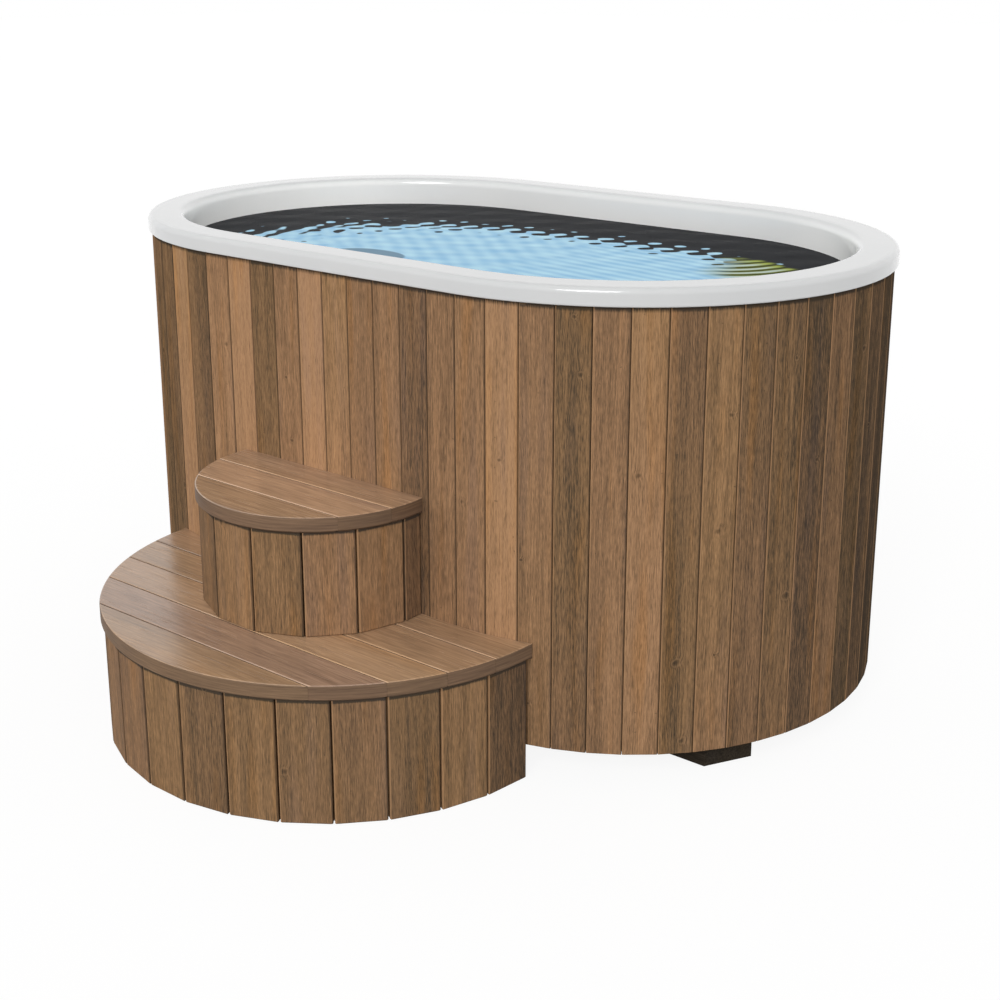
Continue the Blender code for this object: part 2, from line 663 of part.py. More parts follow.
def build_frame(name, centre, radius, angles, low, high, joists, material, parent):
    """Frame inside a step: a half-round rib at head and foot, back rails, joists and posts, glued into one."""
    inside = radius - STAVE_THICKNESS - CONTACT
    rib = rib_outline(centre, inside, angles)
    top_low = high - RIB_THICKNESS
    foot_high = low + RIB_THICKNESS
    frame = add_object(name, prism(rib, top_low, high), material, parent)
    wall = -WALL_RADIUS - STEP_WALL_GAP
    reach = inside - RIB_WIDTH / 2
    rail_end = math.sqrt(reach ** 2 - (wall - RIB_WIDTH / 2 - centre) ** 2)
    rail = box_outline(-rail_end, rail_end, wall - RIB_WIDTH, wall)
    post_y = wall - RIB_WIDTH / 2
    pieces = [("foot_rib", prism(rib, low, foot_high)),
              ("head_rail", prism(rail, top_low, high)),
              ("foot_rail", prism(rail, low, foot_high))]
    for i, x in enumerate(joists):
        front = centre - math.sqrt((inside - RIB_WIDTH) ** 2 - x ** 2)
        joist = box_outline(x - POST_WIDTH / 2, x + POST_WIDTH / 2, front, post_y)
        post = box_outline(x - POST_WIDTH / 2, x + POST_WIDTH / 2, front - POST_WIDTH / 2, front + POST_WIDTH / 2)
        pieces.append((f"joist_{i}", prism(joist, top_low, high)))
        pieces.append((f"front_post_{i}", prism(post, low, high)))
    for i, sign in enumerate((-1, 1)):
        x = sign * (rail_end - POST_WIDTH)
        post = box_outline(x - POST_WIDTH / 2, x + POST_WIDTH / 2, post_y - POST_WIDTH / 2, post_y + POST_WIDTH / 2)
        pieces.append((f"back_post_{i}", prism(post, low, high)))
    for label, bm in pieces:
        combine(frame, add_object(f"join_{name}_{label}", bm, material, parent), "UNION")


def build_steps(tread_wood, stave_wood, frame_wood):
    """Two half-round steps that stand against the tub as one loose unit."""
    steps = add_empty("steps", (0, 0, 0))
    lower_centre = -WALL_RADIUS + LOWER_INSET
    lower_high = LOWER_TOP - TREAD_THICKNESS - CONTACT
    angles = stave_angles(lower_centre, LOWER_RADIUS, LOWER_STAVES, None)
    build_staves("lower", lower_centre, LOWER_RADIUS, angles, 0.0, lower_high, stave_wood, steps)
    build_frame("lower_step_frame", lower_centre, LOWER_RADIUS, angles, RIB_FOOT, lower_high,
                (-LOWER_JOIST, LOWER_JOIST), frame_wood, steps)
    build_treads("lower", lower_centre, LOWER_RADIUS + TREAD_OVERHANG, LOWER_TOP, LOWER_TREADS,
                 LOWER_BACK_BOARD, tread_wood, steps)
    upper_centre = -WALL_RADIUS - UPPER_OUTSET
    upper_low = LOWER_TOP + CONTACT
    upper_high = UPPER_TOP - TREAD_THICKNESS - CONTACT
    angles = stave_angles(upper_centre, UPPER_RADIUS, UPPER_FULL_STAVES, UPPER_STAVE_PITCH)
    build_staves("upper", upper_centre, UPPER_RADIUS, angles, upper_low, upper_high, stave_wood, steps)
    build_frame("upper_step_frame", upper_centre, UPPER_RADIUS, angles, upper_low, upper_high,
                (0.0,), frame_wood, steps)
    build_treads("upper", upper_centre, UPPER_RADIUS + TREAD_OVERHANG, UPPER_TOP, UPPER_TREADS,
                 UPPER_BACK_BOARD, tread_wood, steps)


def main():
    """Build every piece."""
    clear_scene()
    gel_coat = finish("gel_coat", (0.74, 0.76, 0.76), 0.18)
    board_wood = finish("board_wood", (0.26, 0.15, 0.085), 0.55)
    tread_wood = finish("tread_wood", (0.27, 0.165, 0.105), 0.5)
    stave_wood = finish("stave_wood", (0.25, 0.145, 0.08), 0.55)
    timber = finish("bearer_timber", (0.10, 0.07, 0.045), 0.7)
    plywood = finish("plywood", (0.42, 0.30, 0.18), 0.65)
    plastic = finish("grey_plastic", (0.35, 0.36, 0.37), 0.45)
    steel = finish("stainless_steel", (0.60, 0.60, 0.60), 0.28, 1.0)
    brass = finish("brass", (0.62, 0.46, 0.22), 0.32, 1.0)
    build_shell(gel_coat)
    for index in range(PANEL_COUNT):
        build_panel(index, board_wood)
    build_hoop(plywood)
    build_base(timber, plywood)
    build_drain(plastic, steel, brass)
    build_steps(tread_wood, stave_wood, timber)


main()
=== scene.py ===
"""Looks of an oval two-person hot tub with half-round steps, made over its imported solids.

The sizes repeat those of the solids, in metres: +X along the tub, +Z up, the steps on the -Y side.
"""
import math

import bpy
import numpy as np
from bpy.props import FloatProperty, FloatVectorProperty, IntProperty, PointerProperty
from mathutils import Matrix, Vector


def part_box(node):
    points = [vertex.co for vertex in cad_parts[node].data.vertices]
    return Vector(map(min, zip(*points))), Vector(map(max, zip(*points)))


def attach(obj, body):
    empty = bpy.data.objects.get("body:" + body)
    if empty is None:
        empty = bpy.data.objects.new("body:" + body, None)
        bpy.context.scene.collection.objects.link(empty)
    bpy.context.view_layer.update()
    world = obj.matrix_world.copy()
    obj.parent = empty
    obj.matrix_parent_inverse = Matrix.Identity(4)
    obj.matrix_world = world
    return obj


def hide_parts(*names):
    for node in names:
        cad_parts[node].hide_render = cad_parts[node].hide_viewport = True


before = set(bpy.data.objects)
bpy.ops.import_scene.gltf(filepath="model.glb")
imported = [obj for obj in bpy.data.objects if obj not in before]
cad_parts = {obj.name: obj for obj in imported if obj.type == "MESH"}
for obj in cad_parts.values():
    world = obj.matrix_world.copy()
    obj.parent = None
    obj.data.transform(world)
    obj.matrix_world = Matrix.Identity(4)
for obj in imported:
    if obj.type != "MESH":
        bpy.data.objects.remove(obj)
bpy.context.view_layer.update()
RIM_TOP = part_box("tub_shell")[1].z
LOWER_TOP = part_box("lower_tread_1")[1].z
UPPER_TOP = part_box("upper_tread_1")[1].z

bl_info = {
    "name": "Oval hot tub",
    "version": (1, 0, 0),
    "blender": (4, 5, 0),
    "location": "3D View > Sidebar > Hot tub",
    "description": "Boards, gel coat, water, steps and fittings of an oval hot tub",
    "category": "Object",
}


def length(name, description, default):
    """A size in metres."""
    return FloatProperty(name=name, description=description, default=default, unit="LENGTH", precision=4)


def whole(name, description, default):
    """A count."""
    return IntProperty(name=name, description=description, default=default)


def share(name, description, default):
    """A plain number."""
    return FloatProperty(name=name, description=description, default=default, precision=3)


def colour(name, description, default):
    """A linear colour."""
    return FloatVectorProperty(name=name, description=description, default=default, subtype="COLOR",
                               min=0, max=1)


class TubPlan(bpy.types.PropertyGroup):
    """Oval of the tub and the boards on it."""

    wall_radius: length("Wall radius", "Radius of the tub's round ends, to the face of the boards", 0.566)
    straight: length("Straight", "Length of the straight sides", 0.672)
    panels: whole("Panels", "Panels that the boards are glued into", 10)
    panel_boards: whole("Boards", "Boards in a panel", 7)
    seam_shift: length("Seam shift", "From the middle of the front to the first seam", 0.061)
    board_thickness: length("Board thickness", "Thickness of a cladding board", 0.022)
    board_gap: length("Board gap", "Open joint between two boards", 0.0008)
    board_chamfer: length("Board chamfer", "Eased long edge of a board", 0.002)
    board_foot: length("Board foot", "Height of the boards' lower ends", 0.067)
    board_head: length("Board head", "Height of the boards' upper ends", 0.981)


class ShellShape(bpy.types.PropertyGroup):
    """Moulded shell with its rolled rim, seats and foot well."""

    thickness: length("Thickness", "Wall of the shell", 0.006)
    rim_face: length("Rim face", "Height of the rim's outer face", 0.036)
    rim_overhang: length("Rim overhang", "How far the rim stands past the boards", 0.0075)
    rim_width: length("Rim width", "Width of the rim's top", 0.086)
    outer_round: length("Outer round", "Rounding of the rim's outer edge", 0.012)
    inner_round: length("Inner round", "Rounding of the rim's inner edge", 0.018)
    wall_lean: length("Wall lean", "How far the inner wall leans in down to the seats", 0.022)
    seat_height: length("Seat height", "Height of the seats", 0.460)
    seat_fillet: length("Seat fillet", "Fillet between wall and seat", 0.050)
    seat_depth: length("Seat depth", "Flat depth of a seat", 0.392)
    side_ledge: length("Side ledge", "Flat ledge along the sides", 0.016)
    seat_nose: length("Seat nose", "Rounding of the seats' front edge", 0.018)
    well_corner: length("Well corner", "Corner radius of the foot well", 0.140)
    well_lean: length("Well lean", "How far the well's walls lean in", 0.040)
    well_fillet: length("Well fillet", "Fillet at the well's floor", 0.040)
    well_floor: length("Well floor", "Height of the well's floor", 0.0976)


class WaterLook(bpy.types.PropertyGroup):
    """Rippled water in the tub."""

    level: length("Level", "Height of the water", 0.925)
    swell: length("Swell", "Height of the slow swell", 0.00025)
    # The water's colours are painted reflections: sky in the middle, dark surroundings along the walls, leaves
    # at the right end.
    sky: colour("Sky", "Pale middle of the water", (0.43, 0.72, 0.92))
    dark_reflection: colour("Dark reflection", "Dark water along the walls", (0.020, 0.021, 0.024))
    leaf_reflection: colour("Leaf", "Green gleam at the right end", (0.22, 0.26, 0.045))


class StepShape(bpy.types.PropertyGroup):
    """Half-round steps."""

    wall_gap: length("Wall gap", "Gap between the steps and the boards", 0.0005)
    tread_thickness: length("Tread thickness", "Thickness of a tread board", 0.031)
    tread_gap: length("Tread gap", "Joint between two tread boards", 0.0004)
    tread_ease: length("Tread ease", "Eased upper edge of a tread", 0.003)
    tread_notch: length("Tread notch", "Chamfered lower edge of a tread board", 0.0035)
    overhang: length("Overhang", "How far a tread stands past its staves", 0.0045)
    stave_thickness: length("Stave thickness", "Thickness of a stave", 0.022)
    stave_gap: length("Stave gap", "Joint between two staves", 0.003)
    stave_chamfer: length("Stave chamfer", "Eased long edge of a stave", 0.0025)
    seat_gap: length("Seat gap", "Fit between a tread and what it sits on", 0.0003)
    lower_radius: length("Lower radius", "Radius of the lower row of staves", 0.505)
    lower_inset: length("Lower inset", "Lower centre, inside the boards' face", 0.035)
    lower_staves: whole("Lower staves", "Staves in the lower row", 15)
    lower_boards: whole("Lower boards", "Boards of the lower tread", 5)
    lower_back: length("Lower back board", "Width of the lower tread's back board", 0.071)
    upper_radius: length("Upper radius", "Radius of the upper row of staves", 0.2515)
    upper_outset: length("Upper outset", "Upper centre, outside the boards' face", 0.0275)
    upper_staves: whole("Upper staves", "Full staves in the upper row", 7)
    upper_pitch: share("Upper pitch", "Degrees that an upper stave takes", 24.2)
    upper_boards: whole("Upper boards", "Boards of the upper tread", 3)
    upper_back: length("Upper back board", "Width of the upper tread's back board", 0.084)


class Finishes(bpy.types.PropertyGroup):
    """Colours of the finishes."""

    gel_coat: colour("Gel coat", "White of the shell", (0.605, 0.610, 0.610))
    # Painted light: the coat is whitened inside the rim and in the round ends, where the tub's inside lies in
    # shade.
    gel_coat_painted_light_inside: colour("Gel coat inside", "Whiter gel coat inside the rim", (0.745, 0.745, 0.735))
    gel_coat_painted_light_ends: colour("Gel coat ends", "Whitest gel coat inside the round ends", (0.93, 0.93, 0.91))
    board_pale: colour("Pale board", "Palest grain of the boards", (0.425, 0.245, 0.125))
    board_middle: colour("Board", "Middle tone of the boards", (0.235, 0.137, 0.071))
    board_dark: colour("Dark board", "Darkest grain of the boards", (0.060, 0.045, 0.032))
    tread_pale: colour("Pale tread", "Palest grain of the treads", (0.70, 0.450, 0.270))
    tread_middle: colour("Tread", "Middle tone of the treads", (0.425, 0.265, 0.157))
    tread_dark: colour("Dark tread", "Darkest grain of the treads", (0.195, 0.122, 0.077))
    timber: colour("Timber", "Impregnated bearers and step frames", (0.033, 0.026, 0.018))
    plywood: colour("Plywood", "Bare plywood", (0.42, 0.30, 0.18))
    pipe: colour("Pipe", "Grey pipe plastic", (0.30, 0.31, 0.32))
    steel: colour("Steel", "Brushed stainless steel", (0.60, 0.60, 0.60))
    brass: colour("Brass", "Valve brass", (0.62, 0.46, 0.22))


class StageLook(bpy.types.PropertyGroup):
    """Camera, floor and light."""

    target: FloatVectorProperty(name="Target", description="Point the camera turns about", unit="LENGTH",
                                default=(-0.003, -0.001, 0.576))
    azimuth: share("Azimuth", "Camera's turn from the front, in degrees", 38.807)
    elevation: share("Elevation", "Camera's height above the horizon, in degrees", 15.564)
    distance: length("Distance", "From target to camera", 3.6)
    lens: share("Lens", "Focal length in millimetres on a 36 mm sensor", 55.295)
    shift: share("Shift", "Upward shift of the frame, as a share of it", -0.1042)
    sun_strength: share("Sun", "Strength of the key light", 1.2)
    sky_strength: share("Sky", "Strength of the soft light at the horizon, which fades to none overhead", 2.0)
    floor: colour("Floor", "Pale floor", (0.27, 0.27, 0.27))


def math_node(operation):
    """One kind of sum on a Value."""
    return lambda self, other=0.0: self.nodes.math(operation, self, other)


class Value:
    """What a socket puts out; sums on it add Math nodes to its tree."""

    def __init__(self, nodes, socket):
        self.nodes = nodes
        self.socket = socket

    def __rsub__(self, other):
        return self.nodes.math("SUBTRACT", other, self)

    __abs__ = math_node("ABSOLUTE")
    __add__ = math_node("ADD")
    __sub__ = math_node("SUBTRACT")
    __mul__ = math_node("MULTIPLY")
    __truediv__ = math_node("DIVIDE")
    __lt__ = math_node("LESS_THAN")


class Nodes:
    """Short way to add nodes and links to one tree."""

    def __init__(self, tree):
        self.tree = tree

    def add(self, kind, inputs=None, **settings):
        """A node with its settings and inputs."""
        node = self.tree.nodes.new(kind)
        for key, value in settings.items():
            setattr(node, key, value)
        self.fill(node, inputs or {})
        return node

    def out(self, kind, inputs=None, output=0, **settings):
        """What such a node puts out."""
        return Value(self, self.add(kind, inputs, **settings).outputs[output])

    def fill(self, node, inputs):
        """Link a node's inputs to other nodes, or set their values."""
        for key, value in inputs.items():
            value = value.socket if isinstance(value, Value) else value
            if isinstance(value, bpy.types.NodeSocket):
                self.tree.links.new(value, node.inputs[key])
            else:
                node.inputs[key].default_value = value

    def math(self, operation, a, b=0.0):
        """One sum on numbers."""
        return self.out("ShaderNodeMath", {0: a, 1: b}, operation=operation)

    def larger(self, a, b):
        """The larger of two numbers."""
        return self.math("MAXIMUM", a, b)

    def hypot(self, a, b):
        """Distance from two offsets at right angles."""
        return self.math("SQRT", a * a + b * b)

    def cosine(self, turns):
        """Cosine of so many full turns."""
        return self.math("COSINE", turns * (2 * math.pi))

    def attribute(self, name, output="Fac"):
        """What a piece stores under a name."""
        return self.out("ShaderNodeAttribute", output=output, attribute_name=name)

    def place(self):
        """Place in the object's own coordinates."""
        return self.out("ShaderNodeTexCoord", output="Object")

    def split(self, vector):
        """The three parts of a vector or colour."""
        return [Value(self, part) for part in self.add("ShaderNodeSeparateXYZ", {0: vector}).outputs]

    def join(self, *parts):
        """A vector from its parts."""
        return self.out("ShaderNodeCombineXYZ", dict(enumerate(parts)))

    def scaled(self, vector, scale):
        """A vector times one number, or times three."""
        scale = scale if isinstance(scale, tuple) else (scale, scale, scale)
        return self.out("ShaderNodeVectorMath", {0: vector, 1: scale}, operation="MULTIPLY")

    def noise(self, vector, scale, detail=1.0, roughness=0.5):
        """Soft noise from 0 to 1, with about so many waves to the metre."""
        inputs = {"Vector": self.scaled(vector, scale), "Scale": 1.0, "Detail": detail, "Roughness": roughness}
        return self.out("ShaderNodeTexNoise", inputs, "Fac")

    def cells(self, vector, scale):
        """Flat cells: the distance from a cell's middle, and two numbers drawn for the cell."""
        inputs = {"Vector": vector, "Scale": scale}
        found = self.add("ShaderNodeTexVoronoi", inputs, voronoi_dimensions="2D").outputs
        return Value(self, found["Distance"]), *self.split(found["Color"])[:2]

    def span(self, value, low, high, to_low=0.0, to_high=1.0, smooth=True):
        """Map a range onto another, held at its ends."""
        inputs = {0: value, 1: low, 2: high, 3: to_low, 4: to_high}
        curve = "SMOOTHSTEP" if smooth else "LINEAR"
        return self.out("ShaderNodeMapRange", inputs, interpolation_type=curve, clamp=True)

    def mix(self, factor, a, b, blend="MIX"):
        """Mix of two colours."""
        inputs = {0: factor, 6: a, 7: b}
        return self.out("ShaderNodeMix", inputs, 2, data_type="RGBA", blend_type=blend, clamp_factor=True)

    def relief(self, height, strength, distance):
        """Normal of a fine relief, so many metres high."""
        inputs = {"Strength": strength, "Distance": distance, "Height": height}
        return self.out("ShaderNodeBump", inputs)


def rgba(value):
    """A colour with full opacity."""
    return (*value, 1.0)


def new_group(name, inputs, outputs):
    """An empty shader group with named sockets; returns it, its node helper, what it is given and its end."""
    group = bpy.data.node_groups.new(name, "ShaderNodeTree")
    kinds = {"vector": "NodeSocketVector", "value": "NodeSocketFloat", "colour": "NodeSocketColor"}
    for way, sockets in (("INPUT", inputs), ("OUTPUT", outputs)):
        for label, kind in sockets.items():
            group.interface.new_socket(label, in_out=way, socket_type=kinds[kind])
    n = Nodes(group)
    start = n.add("NodeGroupInput").outputs
    return group, n, {label: Value(n, start[label]) for label in inputs}, n.add("NodeGroupOutput")


WARM_CAST = (1.09, 0.97, 0.78)
COOL_CAST = (0.91, 0.95, 1.08)
ROSY_CAST = (1.01, 0.99, 1.06)
OLIVE_CAST = (1.0, 1.01, 0.94)
KNOT_HEART = (0.02, 0.013, 0.009)
# Dark of dirty joints, also used for painted shade on shaded edges and a tread's sides.
JOINT_DIRT_AND_SHADE = (0.02, 0.014, 0.010)
# Cells to the metre that may hold a knot or a pin knot; a knot's sizes are shares of its cell.
KNOT_CELLS = 7.0
PIN_CELLS = 26.0
KNOT_SIZES = (0.018, 0.050)
KNOT_RAGGED = 0.014
GRAIN_DRIFT = 0.022
GRAIN_DEPTH = 0.0006


def wood_group():
    """Grain of a sawn board from its own coordinates: x across, y into the board, z along it, in metres.

    Noises stretched along the board, broad, fine and fibre, add up to a tone from dark to pale. Streaks weighs
    the last two and the dark pores. Cells of two flat Voronoi patterns may hold a knot or a pin knot; a knot is
    dark, has a pale ring and pushes the grain aside. One input dirties a joint and lays painted shade on a
    board's shaded edge and a tread's sides; another lays a painted highlight on a lit edge.
    """
    found = bpy.data.node_groups.get("wood_grain")
    if found:
        return found
    group, n, given, made = new_group(
        "wood_grain",
        {"Grain": "vector", "Tone": "value", "Edge": "value", "Lip": "value", "Knots": "value",
         "Streaks": "value", "Dark": "colour", "Middle": "colour", "Pale": "colour"},
        {"Color": "colour", "Roughness": "value", "Height": "value"})
    grain, tone, edge, lip, knots, streaks, dark, middle, pale = given.values()
    x, y, z = n.split(grain)
    flat = n.join(x + (n.noise(grain, (90.0, 90.0, 60.0)) - 0.5) * KNOT_RAGGED, z)
    distance, chance, girth = n.cells(flat, KNOT_CELLS)
    has_knot = chance < knots
    nearness = distance / n.span(girth, 0.0, 1.0, *KNOT_SIZES, smooth=False)
    core = n.span(nearness, 1.0, 0.35) * has_knot
    ring = n.span(nearness, 1.9, 1.4) * n.span(nearness, 0.9, 1.3) * has_knot
    halo = n.span(nearness, 3.2, 0.8) * has_knot
    distance, chance, _ = n.cells(flat, PIN_CELLS)
    pin = n.span(distance, 0.055, 0.02) * (chance < knots * 0.4)

    drift = n.noise(grain, (4.0, 4.0, 1.1)) * GRAIN_DRIFT + halo * 0.003
    path = n.join(x + drift, y, z)
    broad = n.noise(path, (42.0, 42.0, 1.2), 3.0, 0.55)
    fine = n.noise(path, (560.0, 560.0, 14.0), 3.0, 0.6)
    fibre = n.noise(path, (840.0, 840.0, 60.0), 2.0, 0.6)
    pores = n.span(n.noise(path, (520.0, 520.0, 40.0)), 0.62, 0.74)
    hue = n.noise(path, (30.0, 30.0, 2.2))
    cast = n.noise(grain, 0.7, 0.0)

    streak = (fine - 0.5) * 1.10 + (fibre - 0.5) * 1.25
    tone = tone + (broad - 0.5) * 0.68 + streak * streaks - halo * 0.10
    low = n.mix(n.span(tone, 0.0, 0.5, smooth=False), dark, middle)
    shade = n.mix(n.span(tone, 0.5, 1.0, smooth=False), low, pale)
    for amount, tint in ((n.span(hue, 0.55, 0.75, 0.0, 0.68), WARM_CAST),
                         (n.span(hue, 0.45, 0.25, 0.0, 0.68), COOL_CAST),
                         (n.span(cast, 0.40, 0.62, 0.0, 0.5), ROSY_CAST),
                         (n.span(cast, 0.60, 0.38, 0.0, 0.5), OLIVE_CAST)):
        shade = n.mix(amount, shade, rgba(tint), "MULTIPLY")
    # Pores, knot rings, a painted highlight on a lit edge, pin knots, knot hearts, and joint dirt with painted
    # shade.
    for amount, tint in ((pores * streaks * 0.38, dark), (ring * 0.20, pale), (lip * 0.58, pale),
                         (pin * 0.45, dark),
                         (core * 0.50, n.mix(0.45, dark, rgba(KNOT_HEART))),
                         (edge * 0.60, n.mix(0.35, dark, rgba(JOINT_DIRT_AND_SHADE)))):
        shade = n.mix(amount, shade, tint)
    n.fill(made, {"Color": shade,
                  "Roughness": fine * 0.22 + pores * 0.15 - 0.11,
                  "Height": fine * 0.5 + fibre * 0.35 - pores * 0.5 - core * 0.6})
    return group


def new_material(name):
    """A material with a Principled shader; returns it with its node helper and the shader."""
    material = bpy.data.materials.new(name)
    material.use_nodes = True
    return material, Nodes(material.node_tree), material.node_tree.nodes["Principled BSDF"]


def dress_wood(n, shader, inputs, roughness, specular, bump):
    """Place the wood's grain in a material with its own values."""
    wood = n.add("ShaderNodeGroup", inputs, node_tree=wood_group()).outputs
    n.fill(shader, {"Base Color": wood["Color"],
                    "Roughness": Value(n, wood["Roughness"]) + roughness,
                    "Specular IOR Level": specular,
                    "Normal": n.relief(wood["Height"], bump, GRAIN_DEPTH)})


def board_material(name, tones, knots, streaks, roughness, specular, bump):
    """Sawn wood that follows each board's own grain, tone and edge attributes.

    Across a board, -1 and 1 are its long edges: the one at -1 gets a painted highlight, the one at 1 painted
    shade, and beyond both lies the dark joint.
    Strips along the joints of a tread get a painted highlight, where the eased edges catch the light.
    """
    material, n, shader = new_material(name)
    # Strips along a tread's joints, which get a painted highlight added to their tone.
    strip = n.span(abs(n.attribute("joint")), 0.915, 0.935)
    across = n.attribute("across")
    joint = n.span(abs(across), 1.045, 1.065)
    dark, middle, pale = tones
    inputs = {"Grain": n.attribute("grain", "Vector"),
              "Tone": n.attribute("joint_glint") * strip + n.attribute("tone"),
              # Dirt in the joint and painted shade on the edge at 1, and a painted highlight on the edge at -1.
              "Edge": n.larger(n.span(across, 0.975, 1.0), joint),
              "Lip": n.span(across, -0.985, -1.005) * (1.0 - joint),
              "Knots": knots, "Streaks": streaks,
              "Dark": rgba(dark), "Middle": rgba(middle), "Pale": rgba(pale)}
    dress_wood(n, shader, inputs, roughness, specular, bump)
    return material


def sawn_material(name, tint, scale, roughness, specular):
    """Wood of a hidden or plain piece, with its grain along X in Object coordinates."""
    material, n, shader = new_material(name)
    turn = {"Vector": n.place(), "Angle": math.pi / 2}
    turned = n.out("ShaderNodeVectorRotate", turn, rotation_type="Y_AXIS")
    base = np.array(tint)
    inputs = {"Grain": n.scaled(turned, scale), "Tone": 0.5, "Edge": 0.0, "Lip": 0.0,
              "Knots": 0.25, "Streaks": 1.0,
              "Dark": rgba(base * 0.45), "Middle": rgba(base), "Pale": rgba(np.minimum(base * 1.7, 1.0))}
    dress_wood(n, shader, inputs, roughness, specular, bump=0.35)
    return material


# The painted light that whitens the coat inside the tub starts and is full this far inside the boards' face.
PAINTED_LIGHT_TURN = (0.068, 0.082)
GEL_COAT_CLOUD = (0.965, 0.970, 0.975)


def gel_coat_material(plan, looks):
    """Polished white gel coat with painted light: whiter inside the rim and whitest in the round ends, which lie
    in shade.

    It is faintly cloudy, with fine wiping marks in the gloss.
    """
    material, n, shader = new_material("gel_coat_polished")
    place = n.place()
    x, y, _ = n.split(place)
    reach = n.hypot(n.larger(abs(x) - plan.straight / 2, 0.0), y)
    # Painted light inside the rim, stronger in the round ends, which lie in shade.
    inside = n.span(reach, *(plan.wall_radius - depth for depth in PAINTED_LIGHT_TURN))
    ends = n.span(x, -0.50, -0.80) + n.span(x, 0.40, 0.75)
    shade = n.mix(ends, rgba(looks.gel_coat_painted_light_inside), rgba(looks.gel_coat_painted_light_ends))
    shade = n.mix(inside, rgba(looks.gel_coat), shade)
    shade = n.mix(n.span(n.noise(place, 5.0, 3.0), 0.35, 0.75), shade, rgba(GEL_COAT_CLOUD), "MULTIPLY")
    n.fill(shader, {"Base Color": shade,
                    "Roughness": n.noise(place, 160.0, 3.0) * 0.06 + 0.13,
                    "Specular IOR Level": 0.5, "Coat Weight": 0.6, "Coat Roughness": 0.06,
                    "Normal": n.relief(n.noise(place, 60.0), 0.04, 0.001)})
    return material


def plain_material(name, tint, roughness, metallic, scale, bump):
    """Plastic or metal with fine mottling in colour and gloss."""
    material, n, shader = new_material(name)
    mottle = n.noise(n.place(), scale, 4.0, 0.6)
    base = np.array(tint)
    n.fill(shader, {"Base Color": n.mix(n.span(mottle, 0.3, 0.7), rgba(base * 0.82), rgba(base)),
                    "Roughness": mottle * 0.2 + (roughness - 0.1),
                    "Metallic": metallic,
                    "Normal": n.relief(mottle, bump, 0.0004)})
    return material


# Tones of the painted sky reflection on the water, as shares of its colour; the disc is a painted reflection of
# the rim.
SKY_DIM = (0.70, 0.79, 0.89)
SKY_BRIGHT = (1.25, 1.14, 1.05)
SKY_DISC = (0.45, 0.44, 0.46)
# Painted reflection of green leaves: its pale tips, and the way and spacing of its arcs.
GLEAM_TIPS = (0.54, 0.64, 0.56)
ARC_X, ARC_Y = 0.779, 0.627
ARC_SPACING = 0.042


